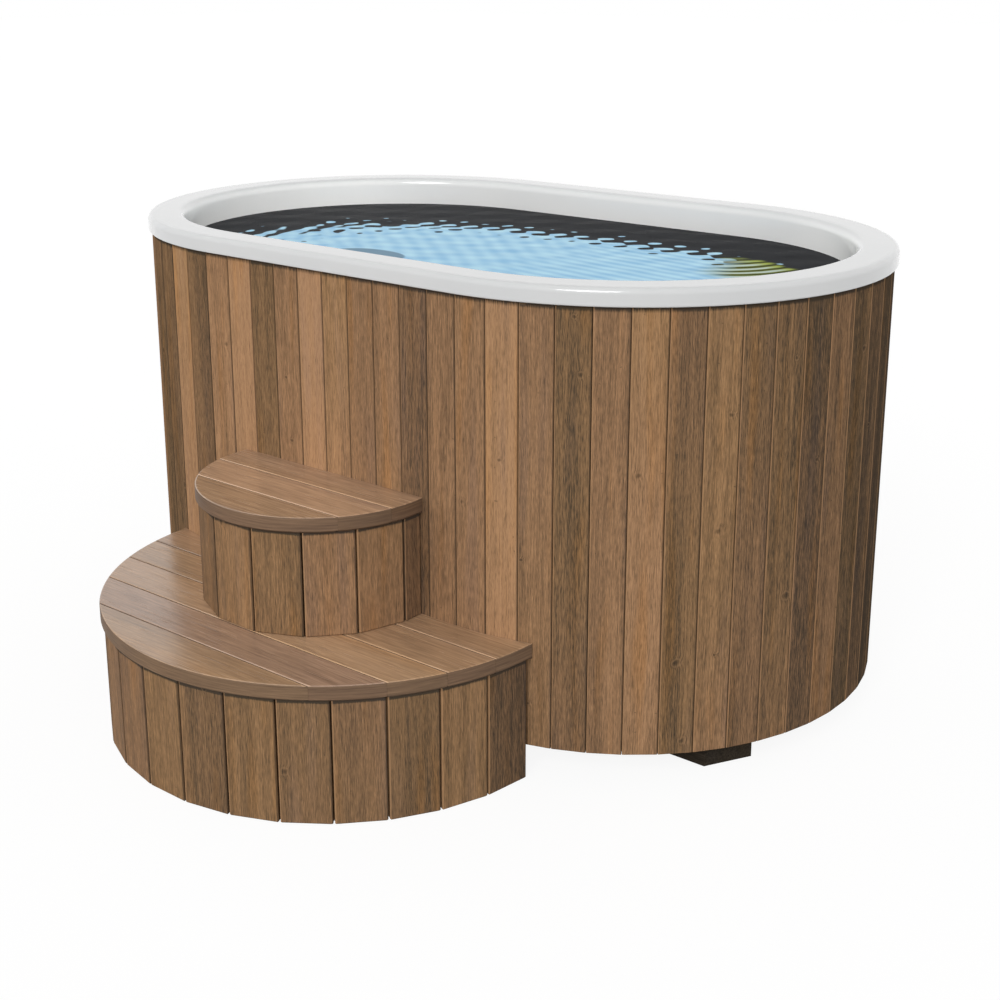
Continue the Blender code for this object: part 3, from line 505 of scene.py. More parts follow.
def water_material(look):
    """Water painted with reflections: pale blue sky in the middle and dark surroundings along the walls.

    The painted blue ends on an oval whose centre line lies near the front wall. Two sets of plane waves, across
    and along the tub, are added to the distance from that edge, which breaks it into dashes, and into longer
    fingers at the left end. Weaker waves streak the blue, curved ones with pale tips paint a green reflection of
    leaves at the right end, and a painted grey reflection of the rim lies as a half disc by the front wall.
    """
    material, n, shader = new_material("rippled_water")
    place = n.place()
    x, y, _ = n.split(place)
    left = n.span(x, -0.10, -0.40)
    right = n.span(x, 0.02, 0.30)
    warp = n.noise(place, 9.0) - 0.5
    wander = warp * (left * 0.9 + 0.5)

    def wave(across, along, phase, strength):
        """Cosine wave with so many crests to the metre across and along the tub, bent by the wander."""
        return n.cosine(x * across + y * along + phase + wander * strength)

    beyond = n.larger(n.larger(x * -0.755, x - 0.33), 0.0)
    inside = (0.425 - n.hypot(beyond, y + 0.2)) / (left * 0.014 + 0.056)
    columns = wave(16.5, -2.5, 0.79, 1.0)
    fingers = wave(16.9, 4.6, 0.68, 0.5) * 0.85
    end = n.span(x, -0.44, -0.54) * n.span(y, 0.06, -0.04)
    columns = columns + (fingers - columns) * end
    rows = wave(3.0, -19.0, 4.56, 1.2) * (0.65 - left * 0.15 - end * 0.35)
    chop = n.span(n.noise(place, 13.0), 0.32, 0.66, 0.45, 1.30, smooth=False)
    lattice = (columns * 0.80 + rows) * chop
    pale = n.span(inside + lattice, -0.14, 0.14)

    cloud = n.noise(place, (10.0, 14.0, 14.0))
    cross = wave(15.6, 17.6, 0.0, 0.8) * 0.18 + wave(7.8, -14.6, 0.0, 0.8) * 0.12
    light = cross * (1.0 - right) + cloud * 0.7 + 0.15 + wave(7.8, -4.9, 0.13, 0.5) * 0.14
    light = light + wave(3.9, 29.3, 0.0, 0.5) * right * 0.28 + columns * n.span(inside, 5.0, 1.0) * 0.12
    sky = np.array(look.sky)
    bright = np.minimum(sky * SKY_BRIGHT, 1.0)
    blue = n.mix(n.span(light, 0.0, 1.0, smooth=False), rgba(sky * SKY_DIM), rgba(bright))
    dark_reflection = np.array(look.dark_reflection)
    dark_reflection_mottle = n.mix(n.span(cloud, 0.3, 0.8), rgba(dark_reflection), rgba(dark_reflection * 1.25))
    shade = n.mix(pale, dark_reflection_mottle, blue)

    bend = n.larger(x * ARC_X + y * ARC_Y - 0.49, 0.0)
    run = y * ARC_X - x * ARC_Y - bend * bend * 3.0
    arcs = n.cosine((run + warp * 0.022) / ARC_SPACING)
    tips = y + x * 0.235 + cloud * 0.06
    patch = n.span(y * 0.25 + x, 0.48, 0.59) * n.span(y, 0.0, 0.06) * n.span(tips, 0.396, 0.368)
    leaf_reflection = np.array(look.leaf_reflection)
    crest = n.mix(n.span(tips, 0.32, 0.375), rgba(GLEAM_TIPS), rgba(leaf_reflection * 1.8))
    gleam = n.mix(n.span(arcs, -0.80, -0.30), rgba(leaf_reflection * 0.22), rgba(leaf_reflection))
    gleam = n.mix(n.span(arcs, 0.05, 0.65), gleam, crest)
    shade = n.mix(patch, shade, gleam)
    # Painted grey reflection of the rim by the front wall.
    disc = n.hypot((x + 0.19) / 0.10, (y + 0.235) / 0.055)
    shade = n.mix(n.span(disc, 1.0, 0.9), shade, rgba(sky * SKY_DISC))
    n.fill(shader, {"Base Color": shade, "Roughness": 0.06, "IOR": 1.02,
                    "Normal": n.relief(lattice, 0.03, 0.002)})
    return material


def add_object(name, data):
    """An object at the origin."""
    obj = bpy.data.objects.new(name, data)
    bpy.context.scene.collection.objects.link(obj)
    return obj


def add_mesh(name, points, faces, material, smooth=None):
    """A mesh object at the origin; smooth gives the angle in degrees above which an edge stays sharp."""
    mesh = bpy.data.meshes.new(name)
    mesh.from_pydata(np.asarray(points).tolist(), [], faces)
    if smooth is not None:
        mesh.shade_smooth()
        mesh.set_sharp_from_angle(angle=math.radians(smooth))
    mesh.materials.append(material)
    mesh.update()
    return add_object(name, mesh)


def place_piece(obj, body, nodes=()):
    """Let a piece ride on its body and stand for its CAD nodes."""
    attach(obj, body)
    if nodes:
        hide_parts(*nodes)


def number(points):
    """Number of each point in an array of points, in the array's own shape."""
    return np.arange(points.size // 3).reshape(points.shape[:-1])


def quads(index, after):
    """Faces between neighbouring rows of point numbers; after holds each point's neighbour along its row."""
    corners = [index[..., :-1, :], after[..., :-1, :], after[..., 1:, :], index[..., 1:, :]]
    return np.stack(corners, axis=-1).reshape(-1, 4).tolist()


def bars(loops):
    """Closed bars from loops of points, an array of bar, level, point and coordinate.

    Each bar has quads between its levels and one face at either end.
    """
    index = number(loops)
    sides = quads(index, np.roll(index, -1, axis=2))
    return loops.reshape(-1, 3), sides + index[:, 0, ::-1].tolist() + index[:, -1].tolist()


def unit(vectors):
    """Vectors brought to a length of 1."""
    return vectors / np.linalg.norm(vectors, axis=-1, keepdims=True)


def arc(middle, radius, angles):
    """Points on a circle."""
    return np.column_stack([middle[0] + radius * np.cos(angles), middle[1] + radius * np.sin(angles)])


def oval_reach(x, y, half):
    """Distance from the oval's centre line, which ends at half to either side."""
    return np.hypot(np.maximum(np.abs(x) - half, 0), y)


def inset(outlines, distance):
    """Outlines moved inwards by a distance, corners mitred; an array of outline, point and coordinate."""
    before = unit(outlines - np.roll(outlines, 1, axis=1))
    after = unit(np.roll(outlines, -1, axis=1) - outlines)
    normal = np.stack([before[..., 1] + after[..., 1], -before[..., 0] - after[..., 0]], axis=-1)
    reach = 1 + (before * after).sum(axis=2, keepdims=True)
    return outlines - distance * normal / reach


def raise_outlines(outlines, levels):
    """Outlines carried up through levels of height and inset; gives bar, level, point and coordinate."""
    rings = []
    for z, distance in levels:
        plan = inset(outlines, distance) if distance else outlines
        rings.append(np.concatenate([plan, np.full((*plan.shape[:2], 1), z)], axis=2))
    return np.stack(rings, axis=1)


def scatter(count, seed):
    """Numbers from 0 to 1 that look random but stay the same: the fraction of a large sine."""
    stride, jump, size = 12.9898, 78.233, 43758.5453
    return np.modf(np.abs(np.sin(np.arange(count) * stride + seed * jump)) * size)[0]


def mark(obj, name, values, domain):
    """Store one number at each point or corner."""
    store = obj.data.attributes.new(name, "FLOAT", domain)
    store.data.foreach_set("value", values.astype(np.float32).ravel())


def mark_grain(obj, grain, tone, across, domain="POINT"):
    """Store each point's place in its board, its board's tone and how far across the board it lies, -1 to 1."""
    store = obj.data.attributes.new("grain", "FLOAT_VECTOR", domain)
    store.data.foreach_set("vector", grain.astype(np.float32).ravel())
    mark(obj, "tone", tone, domain)
    mark(obj, "across", across, domain)


JOINT_HAIR = 0.0002
GRAIN_SHIFT = 9.0
# Tone that a plank loses in the shade of the rim or a tread, and how far below it that starts and is full.
HEAD_SHADE = 0.75
RIM_SHADE = (0.011, 0.003)
TREAD_SHADE = (0.008, 0.004)


def plank_outlines(starts, ends, thickness, gap, chamfer):
    """Plan outlines of planks side by side: starts and ends give a plank's two joint faces at any depth.

    Behind half its depth a joint closes to a hair. Each long outer edge is eased in two facets; the outline
    runs out along the first joint, over the outer face and back along the second joint.
    """
    eased = chamfer * (1 - math.sqrt(0.5))
    lip = JOINT_HAIR - gap / 2
    half = thickness / 2
    steps = [(thickness, lip), (half, lip), (half, 0.0), (chamfer, 0.0), (eased, eased), (0.0, chamfer)]
    along = unit(ends(0.0) - starts(0.0))
    first = [starts(depth) + along * (gap / 2 + side) for depth, side in steps]
    second = [ends(depth) - along * (gap / 2 + side) for depth, side in reversed(steps)]
    return np.stack(first + second, axis=1), along


def upright_planks(name, outlines, along, levels, tone, seed, material):
    """Upright planks as one object, with the grain up each plank; the last two levels lie in shade."""
    loops = raise_outlines(outlines, levels)
    points, faces = bars(loops)
    obj = add_mesh(name, points, faces, material)
    face = outlines[:, outlines.shape[1] // 2 - 1:][:, :2]
    middle = face.mean(axis=1)
    offset = loops[..., :2] - middle[:, None, None]
    run = (offset * along[:, None, None]).sum(axis=-1)
    depth = offset[..., 1] * along[:, None, None, 0] - offset[..., 0] * along[:, None, None, 1]
    half = np.linalg.norm(face[:, 1] - face[:, 0], axis=1)[:, None, None] / 2
    count = len(outlines)
    shift = [scatter(count, seed + i)[:, None, None] * GRAIN_SHIFT for i in range(3)]
    grain = np.stack([run + shift[0], depth + shift[1], loops[..., 2] + shift[2]], axis=-1)
    head = np.arange(len(levels)) >= len(levels) - 2
    mark_grain(obj, grain, tone[:, None, None] - HEAD_SHADE * head[:, None] + 0 * run, run / half)
    return obj


def oval(plan, lengths, offset):
    """Points along the oval at an offset from the boards' face; lengths run from the front's middle to +X."""
    half = plan.straight / 2
    bend = math.pi * plan.wall_radius
    s = np.mod(np.asarray(lengths) + half, 2 * bend + 2 * plan.straight)
    turn = np.clip((s - plan.straight) / plan.wall_radius, 0, math.pi)
    turn = turn + np.clip((s - 2 * plan.straight - bend) / plan.wall_radius, 0, math.pi)
    x = np.clip(s, 0, plan.straight) - half - np.clip(s - plan.straight - bend, 0, plan.straight)
    reach = plan.wall_radius + offset
    return np.column_stack([x + reach * np.sin(turn), -reach * np.cos(turn)])


# Tones of the boards round the back in turn, and of the front ones, counted from the first seam; the darkest
# front ones, from board 14 to the right end, are painted shade.
BACK_TONES = (0.30, 0.50, 0.62, 0.46)
FRONT_BOARDS = np.arange(-9, 22)
FRONT_TONE = 0.55
FRONT_TONES_AND_SHADE = {0.86: [-8, -5, -2, 5], 0.69: [-6, -1, 9], 0.36: [-9, -7, -4, 2, 7, 10, 12, 13, 15],
               0.16: [14, 16, 17], 0.0: [18, 19, 20, 21]}


def set_tones(tone, chosen):
    """Give chosen planks their tones."""
    for value, planks in chosen.items():
        tone[planks] = value


def wood_tones(context, wood):
    """Dark, middle and pale tone of a wood."""
    looks = context.scene.tub_finishes
    return [getattr(looks, f"{wood}_{tone}") for tone in ("dark", "middle", "pale")]


class HOTTUB_OT_boards(bpy.types.Operator):
    """Make the cladding boards, each with its own tone and grain"""

    bl_idname = "hottub.boards"
    bl_label = "Cladding boards"

    def execute(self, context):
        plan = context.scene.tub_plan
        wood = board_material("cladding_wood", wood_tones(context, "board"),
                              knots=0.32, streaks=1.0, roughness=0.62, specular=0.0, bump=0.5)
        count = plan.panels * plan.panel_boards
        pitch = (2 * math.pi * plan.wall_radius + 2 * plan.straight) / count
        turn = np.arange(count) % plan.panel_boards % len(BACK_TONES)
        tone = np.choose(turn, BACK_TONES) + 0.06 * scatter(count, 3)
        tone[FRONT_BOARDS] = FRONT_TONE
        # Front tones, with painted shade on the boards at the right end.
        set_tones(tone, FRONT_TONES_AND_SHADE)
        ease = plan.board_chamfer / 4
        shadow = RIM_TOP - context.scene.tub_shell.rim_face
        levels = [(plan.board_foot, ease), (plan.board_foot + ease, 0.0),
                  *((shadow - drop, 0.0) for drop in RIM_SHADE), (plan.board_head, 0.0)]
        for panel in range(plan.panels):
            boards = np.arange(plan.panel_boards) + panel * plan.panel_boards
            seams = plan.seam_shift + pitch * boards
            outlines, along = plank_outlines(lambda depth: oval(plan, seams, -depth),
                                             lambda depth: oval(plan, seams + pitch, -depth),
                                             plan.board_thickness, plan.board_gap, plan.board_chamfer)
            obj = upright_planks(f"cladding_boards_{panel + 1:02d}", outlines, along, levels, tone[boards],
                                 11 + 4 * panel, wood)
            place_piece(obj, "tub", [f"cladding_panel_{panel + 1:02d}"])
        return {"FINISHED"}


class HOTTUB_OT_shell(bpy.types.Operator):
    """Make the moulded shell with its rolled rim, seats and foot well"""

    bl_idname = "hottub.shell"
    bl_label = "Moulded shell"

    def execute(self, context):
        plan = context.scene.tub_plan
        shape = context.scene.tub_shell
        points, faces = shell_surface(plan, shape)
        white = gel_coat_material(plan, context.scene.tub_finishes)
        obj = add_mesh("gel_coat_shell", points, faces, white, smooth=60)
        place_piece(obj, "tub", ["tub_shell"])
        return {"FINISHED"}


# Points on the shell's rounds, on a corner of its loops and on the half round at the rim's foot.
ROUND_STEPS = 9
CORNER_STEPS = 33
FOOT_STEPS = 11
FLAT_HOLD = 0.0015


def quarter(steps):
    """Angles of a quarter turn."""
    return np.linspace(0, math.pi / 2, steps)


def loop_move(aside, up):
    """Moves of a loop: aside for its half length, half width and corner radius alike, and up."""
    return np.column_stack([aside, aside, aside, up])


def shell_profile(plan, shape):
    """Half length, half width, corner radius and height of each loop of the shell's skin.

    From the foot of the rim's face the profile goes up, over the outer round, across the rim, down the inner
    round and the leaning wall, round a fillet onto the seats, over their nose, down the well and onto its floor.
    """
    q = quarter(ROUND_STEPS)
    wall = shape.rim_overhang - shape.rim_width
    foot = wall - shape.wall_lean
    offsets = [[shape.rim_overhang], shape.rim_overhang - shape.outer_round * (1 - np.cos(q)),
               wall + shape.inner_round * (1 - np.sin(q)), foot - shape.seat_fillet * (1 - np.cos(q))]
    heights = [[RIM_TOP - shape.rim_face + shape.thickness / 2], RIM_TOP - shape.outer_round * (1 - np.sin(q)),
               RIM_TOP - shape.inner_round * (1 - np.cos(q)),
               shape.seat_height + shape.seat_fillet * (1 - np.sin(q))]
    radius = plan.wall_radius + np.concatenate(offsets)
    oval_part = np.column_stack([plan.straight / 2 + radius, radius, radius, np.concatenate(heights)])
    seat = radius[-1]
    drop = shape.seat_nose * loop_move(np.sin(q), 1 - np.cos(q))
    nose = np.array([plan.straight / 2 + seat - shape.seat_depth, seat - shape.side_ledge,
                     shape.well_corner, shape.seat_height]) - drop
    lean = np.array([shape.well_lean, shape.well_lean, 0.0, nose[-1, 3] - shape.well_floor - shape.well_fillet])
    curl = shape.well_fillet * loop_move(1 - np.cos(q), np.sin(q))
    well = nose[-1] - lean - curl
    return hold_flats(np.concatenate([oval_part, nose, well]), FLAT_HOLD)


def hold_flats(profile, reach):
    """Add a loop a short reach inside each end of a long flat, so that smooth shading keeps it flat."""
    step = np.abs(np.diff(profile, axis=0)).max(axis=1)
    run = np.concatenate([[0.0], np.cumsum(step)])
    long = step > 8 * reach
    places = np.sort(np.concatenate([run, run[:-1][long] + reach, run[1:][long] - reach]))
    return np.column_stack([np.interp(places, run, column) for column in profile.T])


def shell_surface(plan, shape):
    """Closed skin of even wall: loops of rounded rectangles along the profile and back along its inner offset.

    The offset moves each loop by the wall's thickness against the profile's normal; a half round joins the two
    at the rim's foot, and the well's floor closes both ends. Each corner is a quarter circle of its own radius.
    """
    skin = shell_profile(plan, shape)
    along = unit(np.gradient(skin[:, [0, 3]], axis=0))
    back = skin - shape.thickness * along[:, [1, 1, 1, 0]] * np.array([1, 1, 1, -1])
    half = shape.thickness / 2
    turn = np.linspace(math.pi, 2 * math.pi, FOOT_STEPS)[1:-1]
    middle = skin[0] - np.array([half, half, half, 0.0])
    foot = middle + half * loop_move(np.cos(turn), np.sin(turn))
    profile = np.concatenate([back[::-1], foot, skin])
    turn = quarter(CORNER_STEPS)
    angle = np.concatenate([turn + (k - 1) * math.pi / 2 for k in range(4)])
    side_x = np.repeat([1, 1, -1, -1], len(turn))
    side_y = np.repeat([-1, 1, 1, -1], len(turn))
    half_x, half_y, corner, z = (profile[:, i, None] for i in range(4))
    x = side_x * (half_x - corner) + corner * np.cos(angle)
    y = side_y * (half_y - corner) + corner * np.sin(angle)
    points = np.stack([x, y, np.broadcast_to(z, x.shape)], axis=-1)
    index = number(points)
    sides = quads(index, np.roll(index, -1, axis=1))
    return points.reshape(-1, 3), sides + [index[0, ::-1].tolist(), index[-1].tolist()]


class HOTTUB_OT_water(bpy.types.Operator):
    """Fill the tub with rippled water"""

    bl_idname = "hottub.water"
    bl_label = "Water"

    def execute(self, context):
        plan = context.scene.tub_plan
        shape = context.scene.tub_shell
        look = context.scene.tub_water
        drop = RIM_TOP - shape.inner_round - look.level
        drop = drop / (RIM_TOP - shape.inner_round - shape.seat_height - shape.seat_fillet)
        radius = plan.wall_radius + shape.rim_overhang - shape.rim_width - shape.wall_lean * drop
        points, faces = water_surface(plan.straight / 2, radius, look.level, look.swell)
        obj = add_mesh("water", points, faces, water_material(look), smooth=80)
        place_piece(obj, "tub")
        return {"FINISHED"}


WATER_GRID = (150, 240)
STILL_EDGE = 0.03
# Slow waves: radians to the metre along and across the tub, phase and share of the swell.
SWELLS = ((38, 21, 0.0, 1.0), (-27, 44, 1.3, 1.0), (63, -12, 2.1, 0.6))


def water_surface(half, radius, level, swell):
    """Level oval grid: rows at y = r sin t, each as long as the oval there, with three crossing slow waves."""
    turn = np.linspace(-math.pi / 2, math.pi / 2, WATER_GRID[0])[:, None]
    share_x = np.linspace(-1, 1, WATER_GRID[1])[None]
    x = share_x * (half + radius * np.cos(turn))
    y = np.broadcast_to(radius * np.sin(turn), x.shape)
    waves = sum(size * np.sin(along * x + across * y + phase) for along, across, phase, size in SWELLS)
    rim = np.clip((radius - oval_reach(x, y, half)) / STILL_EDGE, 0, 1)
    points = np.stack([x, y, level + swell * waves * rim], axis=-1)
    index = number(points)
    return points.reshape(-1, 3), quads(index[:, :-1], index[:, 1:])


def meet_wall(plan, shape, centre, radius):
    """Right-hand point where a circle about (0, centre) meets the tub's straight or round outside."""
    reach = plan.wall_radius + shape.wall_gap
    x = math.sqrt(radius ** 2 - (reach + centre) ** 2)
    if x <= plan.straight / 2:
        return np.array([x, -reach])
    between = np.array([plan.straight / 2, -centre])
    distance = np.linalg.norm(between)
    along = (radius ** 2 - reach ** 2 + distance ** 2) / (2 * distance)
    aside = math.sqrt(radius ** 2 - along ** 2)
    way = between / distance
    return np.array([0.0, centre]) + way * along + np.array([way[1], -way[0]]) * aside


def stave_seams(plan, shape, centre, radius, full, pitch):
    """Angles of the joints between staves, from left to right."""
    corners = [meet_wall(plan, shape, centre, radius - depth) for depth in (0.0, shape.stave_thickness)]
    end = min(math.atan2(corner[1] - centre, corner[0]) for corner in corners)
    if pitch is None:
        return np.linspace(-math.pi - end, end, full + 1)
    half = math.radians(pitch) * full / 2
    inner = np.linspace(-math.pi / 2 - half, -math.pi / 2 + half, full + 1)
    return np.concatenate([[-math.pi - end], inner, [end]])


# Tone of a row's staves, its spread, the seeds of tone and grain, and tones of single staves, from the left; the
# lower row's last stave on the right is darkened with painted shade.
STAVE_TONES_AND_SHADE = {"lower": (0.40, 0.10, 21, 31, {0.50: [5, 6, 9, 11], 0.36: [8, 12], 0.54: [7, 13], 0.20: [14]}),
               "upper": (0.36, 0.08, 23, 37, {0.55: [4, 6, 7]})}


def step_rows(plan, shape):
    """Name, centre, radius and top of the two steps."""
    return (("lower", -plan.wall_radius + shape.lower_inset, shape.lower_radius, LOWER_TOP),
            ("upper", -plan.wall_radius - shape.upper_outset, shape.upper_radius, UPPER_TOP))


def build_staves(shape, name, centre, radius, seams, low, high, material):
    """Half-round row of upright staves as one object, in place of the CAD staves."""

    def joints(angles):
        return lambda depth: arc((0.0, centre), radius - depth, angles)

    outlines, along = plank_outlines(joints(seams[:-1]), joints(seams[1:]), shape.stave_thickness,
                                     shape.stave_gap, shape.stave_chamfer)
    notch = shape.stave_chamfer
    levels = [(low, notch), (low + notch, 0.0), *((high - drop, 0.0) for drop in TREAD_SHADE), (high, 0.0)]
    count = len(seams) - 1
    tone, spread, tone_seed, grain_seed, single = STAVE_TONES_AND_SHADE[name]
    tone = tone + spread * scatter(count, tone_seed)
    set_tones(tone, single)
    obj = upright_planks(f"{name}_staves", outlines, along, levels, tone, grain_seed, material)
    place_piece(obj, "steps", [f"{name}_stave_{i + 1:02d}" for i in range(count)])


class HOTTUB_OT_staves(bpy.types.Operator):
    """Make the two half-round rows of staves"""

    bl_idname = "hottub.staves"
    bl_label = "Step staves"

    def execute(self, context):
        plan = context.scene.tub_plan
        shape = context.scene.tub_steps
        wood = board_material("stave_wood_sawn", wood_tones(context, "board"),
                              knots=0.25, streaks=0.92, roughness=0.62, specular=0.02, bump=0.6)
        full = {"lower": (shape.lower_staves, None), "upper": (shape.upper_staves, shape.upper_pitch)}
        low = 0.0
        for name, centre, radius, top in step_rows(plan, shape):
            seams = stave_seams(plan, shape, centre, radius, *full[name])
            high = top - shape.tread_thickness - shape.seat_gap
            build_staves(shape, name, centre, radius, seams, low, high, wood)
            low = top + shape.seat_gap
        return {"FINISHED"}


# Step round a tread's edge, points on its bend along the tub, and how near counts as on a line.
ARC_STEP = 0.012
SCRIBE_STEPS = 9
ON_LINE = 1e-5
# Painted highlight beside a tread's joints, how much it grows to the right, and the painted shade on the tread's
# edge.
TREAD_GLINT_AND_EDGE_SHADE = {"lower": (0.18, 0.40, 0.04), "upper": (0.48, 0.0, 0.14)}
TREAD_TONES = {"lower": (0.55, 0.56, 0.56, 0.48, 0.5), "upper": (0.54, 0.58, 0.51)}
# Start of a tread's grain, its step from board to board, its slide along them, and its stretch on a board.
TREAD_GRAIN = {"lower": 0.0, "upper": 17.3}
GRAIN_STEP, GRAIN_SLIDE = 3.1, 1.7
GRAIN_ACROSS, GRAIN_ALONG, GRAIN_UP = 0.30, 0.25, 0.5


def tread_outline(plan, shape, centre, radius, front, back):
    """Board of a half-round tread between two lines across it; with no back line it is scribed to the tub."""
    corner = meet_wall(plan, shape, centre, radius)
    top = corner[1] if back is None else back
    low_angle = math.asin(max((front - centre) / radius, -1.0))
    high_angle = math.asin((top - centre) / radius)
    turn = np.linspace(low_angle, high_angle, 3 + int(radius * (high_angle - low_angle) / ARC_STEP))
    right = arc((0.0, centre), radius, turn)
    mirror = np.array([-1, 1])
    middle = np.empty((0, 2))
    if back is None and corner[0] > plan.straight / 2:
        reach = plan.wall_radius + shape.wall_gap
        start = math.atan2(corner[1], corner[0] - plan.straight / 2)
        turns = np.linspace(start, -math.pi / 2, SCRIBE_STEPS)[1:]
        bend = arc((plan.straight / 2, 0.0), reach, turns)
        middle = np.concatenate([bend, bend[::-1] * mirror])
    outline = np.concatenate([right, middle, right[::-1] * mirror])
    return outline[1:] if low_angle <= -math.pi / 2 else outline


def build_treads(plan, shape, name, centre, radius, top, materials):
    """Boards of one tread, from the tub outwards, with the grain along them, eased edges and sides with less
    gloss and painted shade.

    The painted shade on the edge grows to the left of the middle and to the right past two fifths of the radius,
    and it is deeper on the chamfer below.
    """
    count = getattr(shape, f"{name}_boards")
    seam = -plan.wall_radius - getattr(shape, f"{name}_back")
    pitch = (seam - centre + radius) / (count - 1)
    back = None
    ease = shape.tread_ease
    facet = ease * (1 - math.sqrt(0.5))
    low = top - shape.tread_thickness
    levels = [(low, shape.tread_notch), (low + shape.tread_notch, 0.0), (top - ease, 0.0), (top - facet, facet),
              (top, ease)]
    for i in range(count):
        front = centre - radius if i == count - 1 else seam + shape.tread_gap / 2
        outline = tread_outline(plan, shape, centre, radius, front, back)
        loops = raise_outlines(outline[None], levels)
        wall = oval_reach(*outline.T, plan.straight / 2) < plan.wall_radius + shape.wall_gap + ON_LINE
        loops[:, :, wall, :2] = outline[wall]
        points, faces = bars(loops)
        obj = add_mesh(f"{name}_tread_board_{i + 1}", points, faces, materials[0], smooth=15)
        obj.data.materials.append(materials[1])
        on_arc = np.hypot(outline[:, 0], outline[:, 1] - centre) > radius - ON_LINE
        round_edge = on_arc & np.roll(on_arc, -1)
        side_rows = len(levels) - 2
        dull_shaded_sides = np.zeros(len(faces), np.int32)
        dull_shaded_sides[:side_rows * len(outline)] = np.tile(round_edge, side_rows)
        obj.data.polygons.foreach_set("material_index", dull_shaded_sides)
        shift = GRAIN_STEP * i + TREAD_GRAIN[name]
        slide = GRAIN_SLIDE * shift
        x, y, z = points.T
        flat = np.column_stack([GRAIN_ACROSS * y + shift, GRAIN_ACROSS * z, GRAIN_ALONG * x + slide])
        round_way = radius * np.arctan2(y - centre, x)
        edge = np.column_stack([GRAIN_UP * z + shift, 0 * z, GRAIN_ALONG * round_way + slide])
        corner = np.empty(len(obj.data.loops), np.int32)
        obj.data.loops.foreach_get("vertex_index", corner)
        row = np.arange(len(corner)) // (4 * len(outline))
        side = row < side_rows
        grain = np.where(side[:, None], edge[corner], flat[corner])
        joint_glint, lean, edge_shade = TREAD_GLINT_AND_EDGE_SHADE[name]
        way = x[corner] / radius
        # Painted shade on the sides: tone lowered to the left, towards the right end and on the lower chamfer,
        # and across set to 1 for the darkened edge.
        shaded = edge_shade + 0.6 * np.maximum(-way, 0.0) + 0.5 * np.maximum(way - 0.4, 0.0) + 0.5 * (row == 0)
        mark_grain(obj, grain, TREAD_TONES[name][i] - np.where(side, shaded, 0.0), 1.0 * side, "CORNER")
        far = front + pitch if back is None else back
        near = far - 1.3 * pitch if i == count - 1 else front
        mark(obj, "joint", np.where(side, 0.0, (2 * y - far - near)[corner] / (far - near)), "CORNER")
        # Painted highlight beside the joints, growing to the right.
        mark(obj, "joint_glint", joint_glint + lean * way, "CORNER")
        place_piece(obj, "steps", [f"{name}_tread_{i + 1}"])
        back = seam - shape.tread_gap / 2
        seam -= pitch


class HOTTUB_OT_treads(bpy.types.Operator):
    """Make the boards of the two treads"""

    bl_idname = "hottub.treads"
    bl_label = "Step treads"

    def execute(self, context):
        plan = context.scene.tub_plan
        shape = context.scene.tub_steps
        tones = wood_tones(context, "tread")
        wood = [board_material("tread_wood_oiled", tones,
                               knots=0.05, streaks=0.65, roughness=0.22, specular=1.0, bump=0.16),
                # A darker copy of the oiled wood, painted shade for the treads' sides, with less gloss.
                board_material("tread_wood_sides_shaded", np.array(tones) * 0.80,
                               knots=0.05, streaks=1.1, roughness=0.55, specular=0.1, bump=0.25)]
        for name, centre, radius, top in step_rows(plan, shape):
            build_treads(plan, shape, name, centre, radius + shape.overhang, top, wood)
        return {"FINISHED"}


def finish_nodes(names, material):
    """Give CAD nodes that stay in view a procedural finish."""
    for name in names:
        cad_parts[name].material_slots[0].material = material


class HOTTUB_OT_base(bpy.types.Operator):
    """Finish the bearers, base plates, seat props, hoop and step frames"""

    bl_idname = "hottub.base"
    bl_label = "Base and frames"

    def execute(self, context):
        looks = context.scene.tub_finishes
        timber = sawn_material("impregnated_timber", looks.timber, scale=0.5, roughness=0.75, specular=0.05)
        finish_nodes(["bearer_front", "bearer_middle", "bearer_back", "lower_step_frame", "upper_step_frame"],
                     timber)
        plywood = sawn_material("bare_plywood", looks.plywood, scale=0.35, roughness=0.6, specular=0.25)
        finish_nodes(["base_plate_front", "base_plate_back", "seat_prop_left", "seat_prop_right", "top_hoop"],
                     plywood)
        return {"FINISHED"}


class HOTTUB_OT_drain(bpy.types.Operator):
    """Finish the drain and its valve"""

    bl_idname = "hottub.drain"
    bl_label = "Drain and valve"

    def execute(self, context):
        looks = context.scene.tub_finishes
        pipe = plain_material("grey_pipe", looks.pipe, roughness=0.42, metallic=0.0, scale=90.0, bump=0.12)
        finish_nodes(["drain_flange", "drain_nut", "drain_pipe"], pipe)
        steel = plain_material("brushed_stainless", looks.steel, roughness=0.28, metallic=1.0,
                               scale=(60.0, 900.0, 60.0), bump=0.08)
        finish_nodes(["drain_strainer", "valve_ball", "valve_lever"], steel)
        brass = plain_material("cast_brass", looks.brass, roughness=0.34, metallic=1.0, scale=240.0, bump=0.2)
        finish_nodes(["valve_body"], brass)
        return {"FINISHED"}


WHITE = (1.0, 1.0, 1.0)
# The floor glows white by a share; the rest of it takes shadows.
FLOOR_LIT = (0.95, 0.95, 0.95)
FLOOR_GLOW = 1.03
FLOOR_GLOW_SHARE = 0.87
FLOOR_HALF = 40.0
SUN_SPREAD = 25
SUN_WAY = (0.28, -0.77, 0.57)
SENSOR_WIDTH = 36.0


def seen_rays(n):
    """1 for camera, mirror and glass rays, else 0."""
    path = n.add("ShaderNodeLightPath").outputs
    return n.larger(n.larger(path["Is Camera Ray"], path["Is Glossy Ray"]), path["Is Transmission Ray"])


def bare_tree(owner):
    """Node helper on the emptied tree of a material or world."""
    owner.use_nodes = True
    owner.node_tree.nodes.clear()
    return Nodes(owner.node_tree)


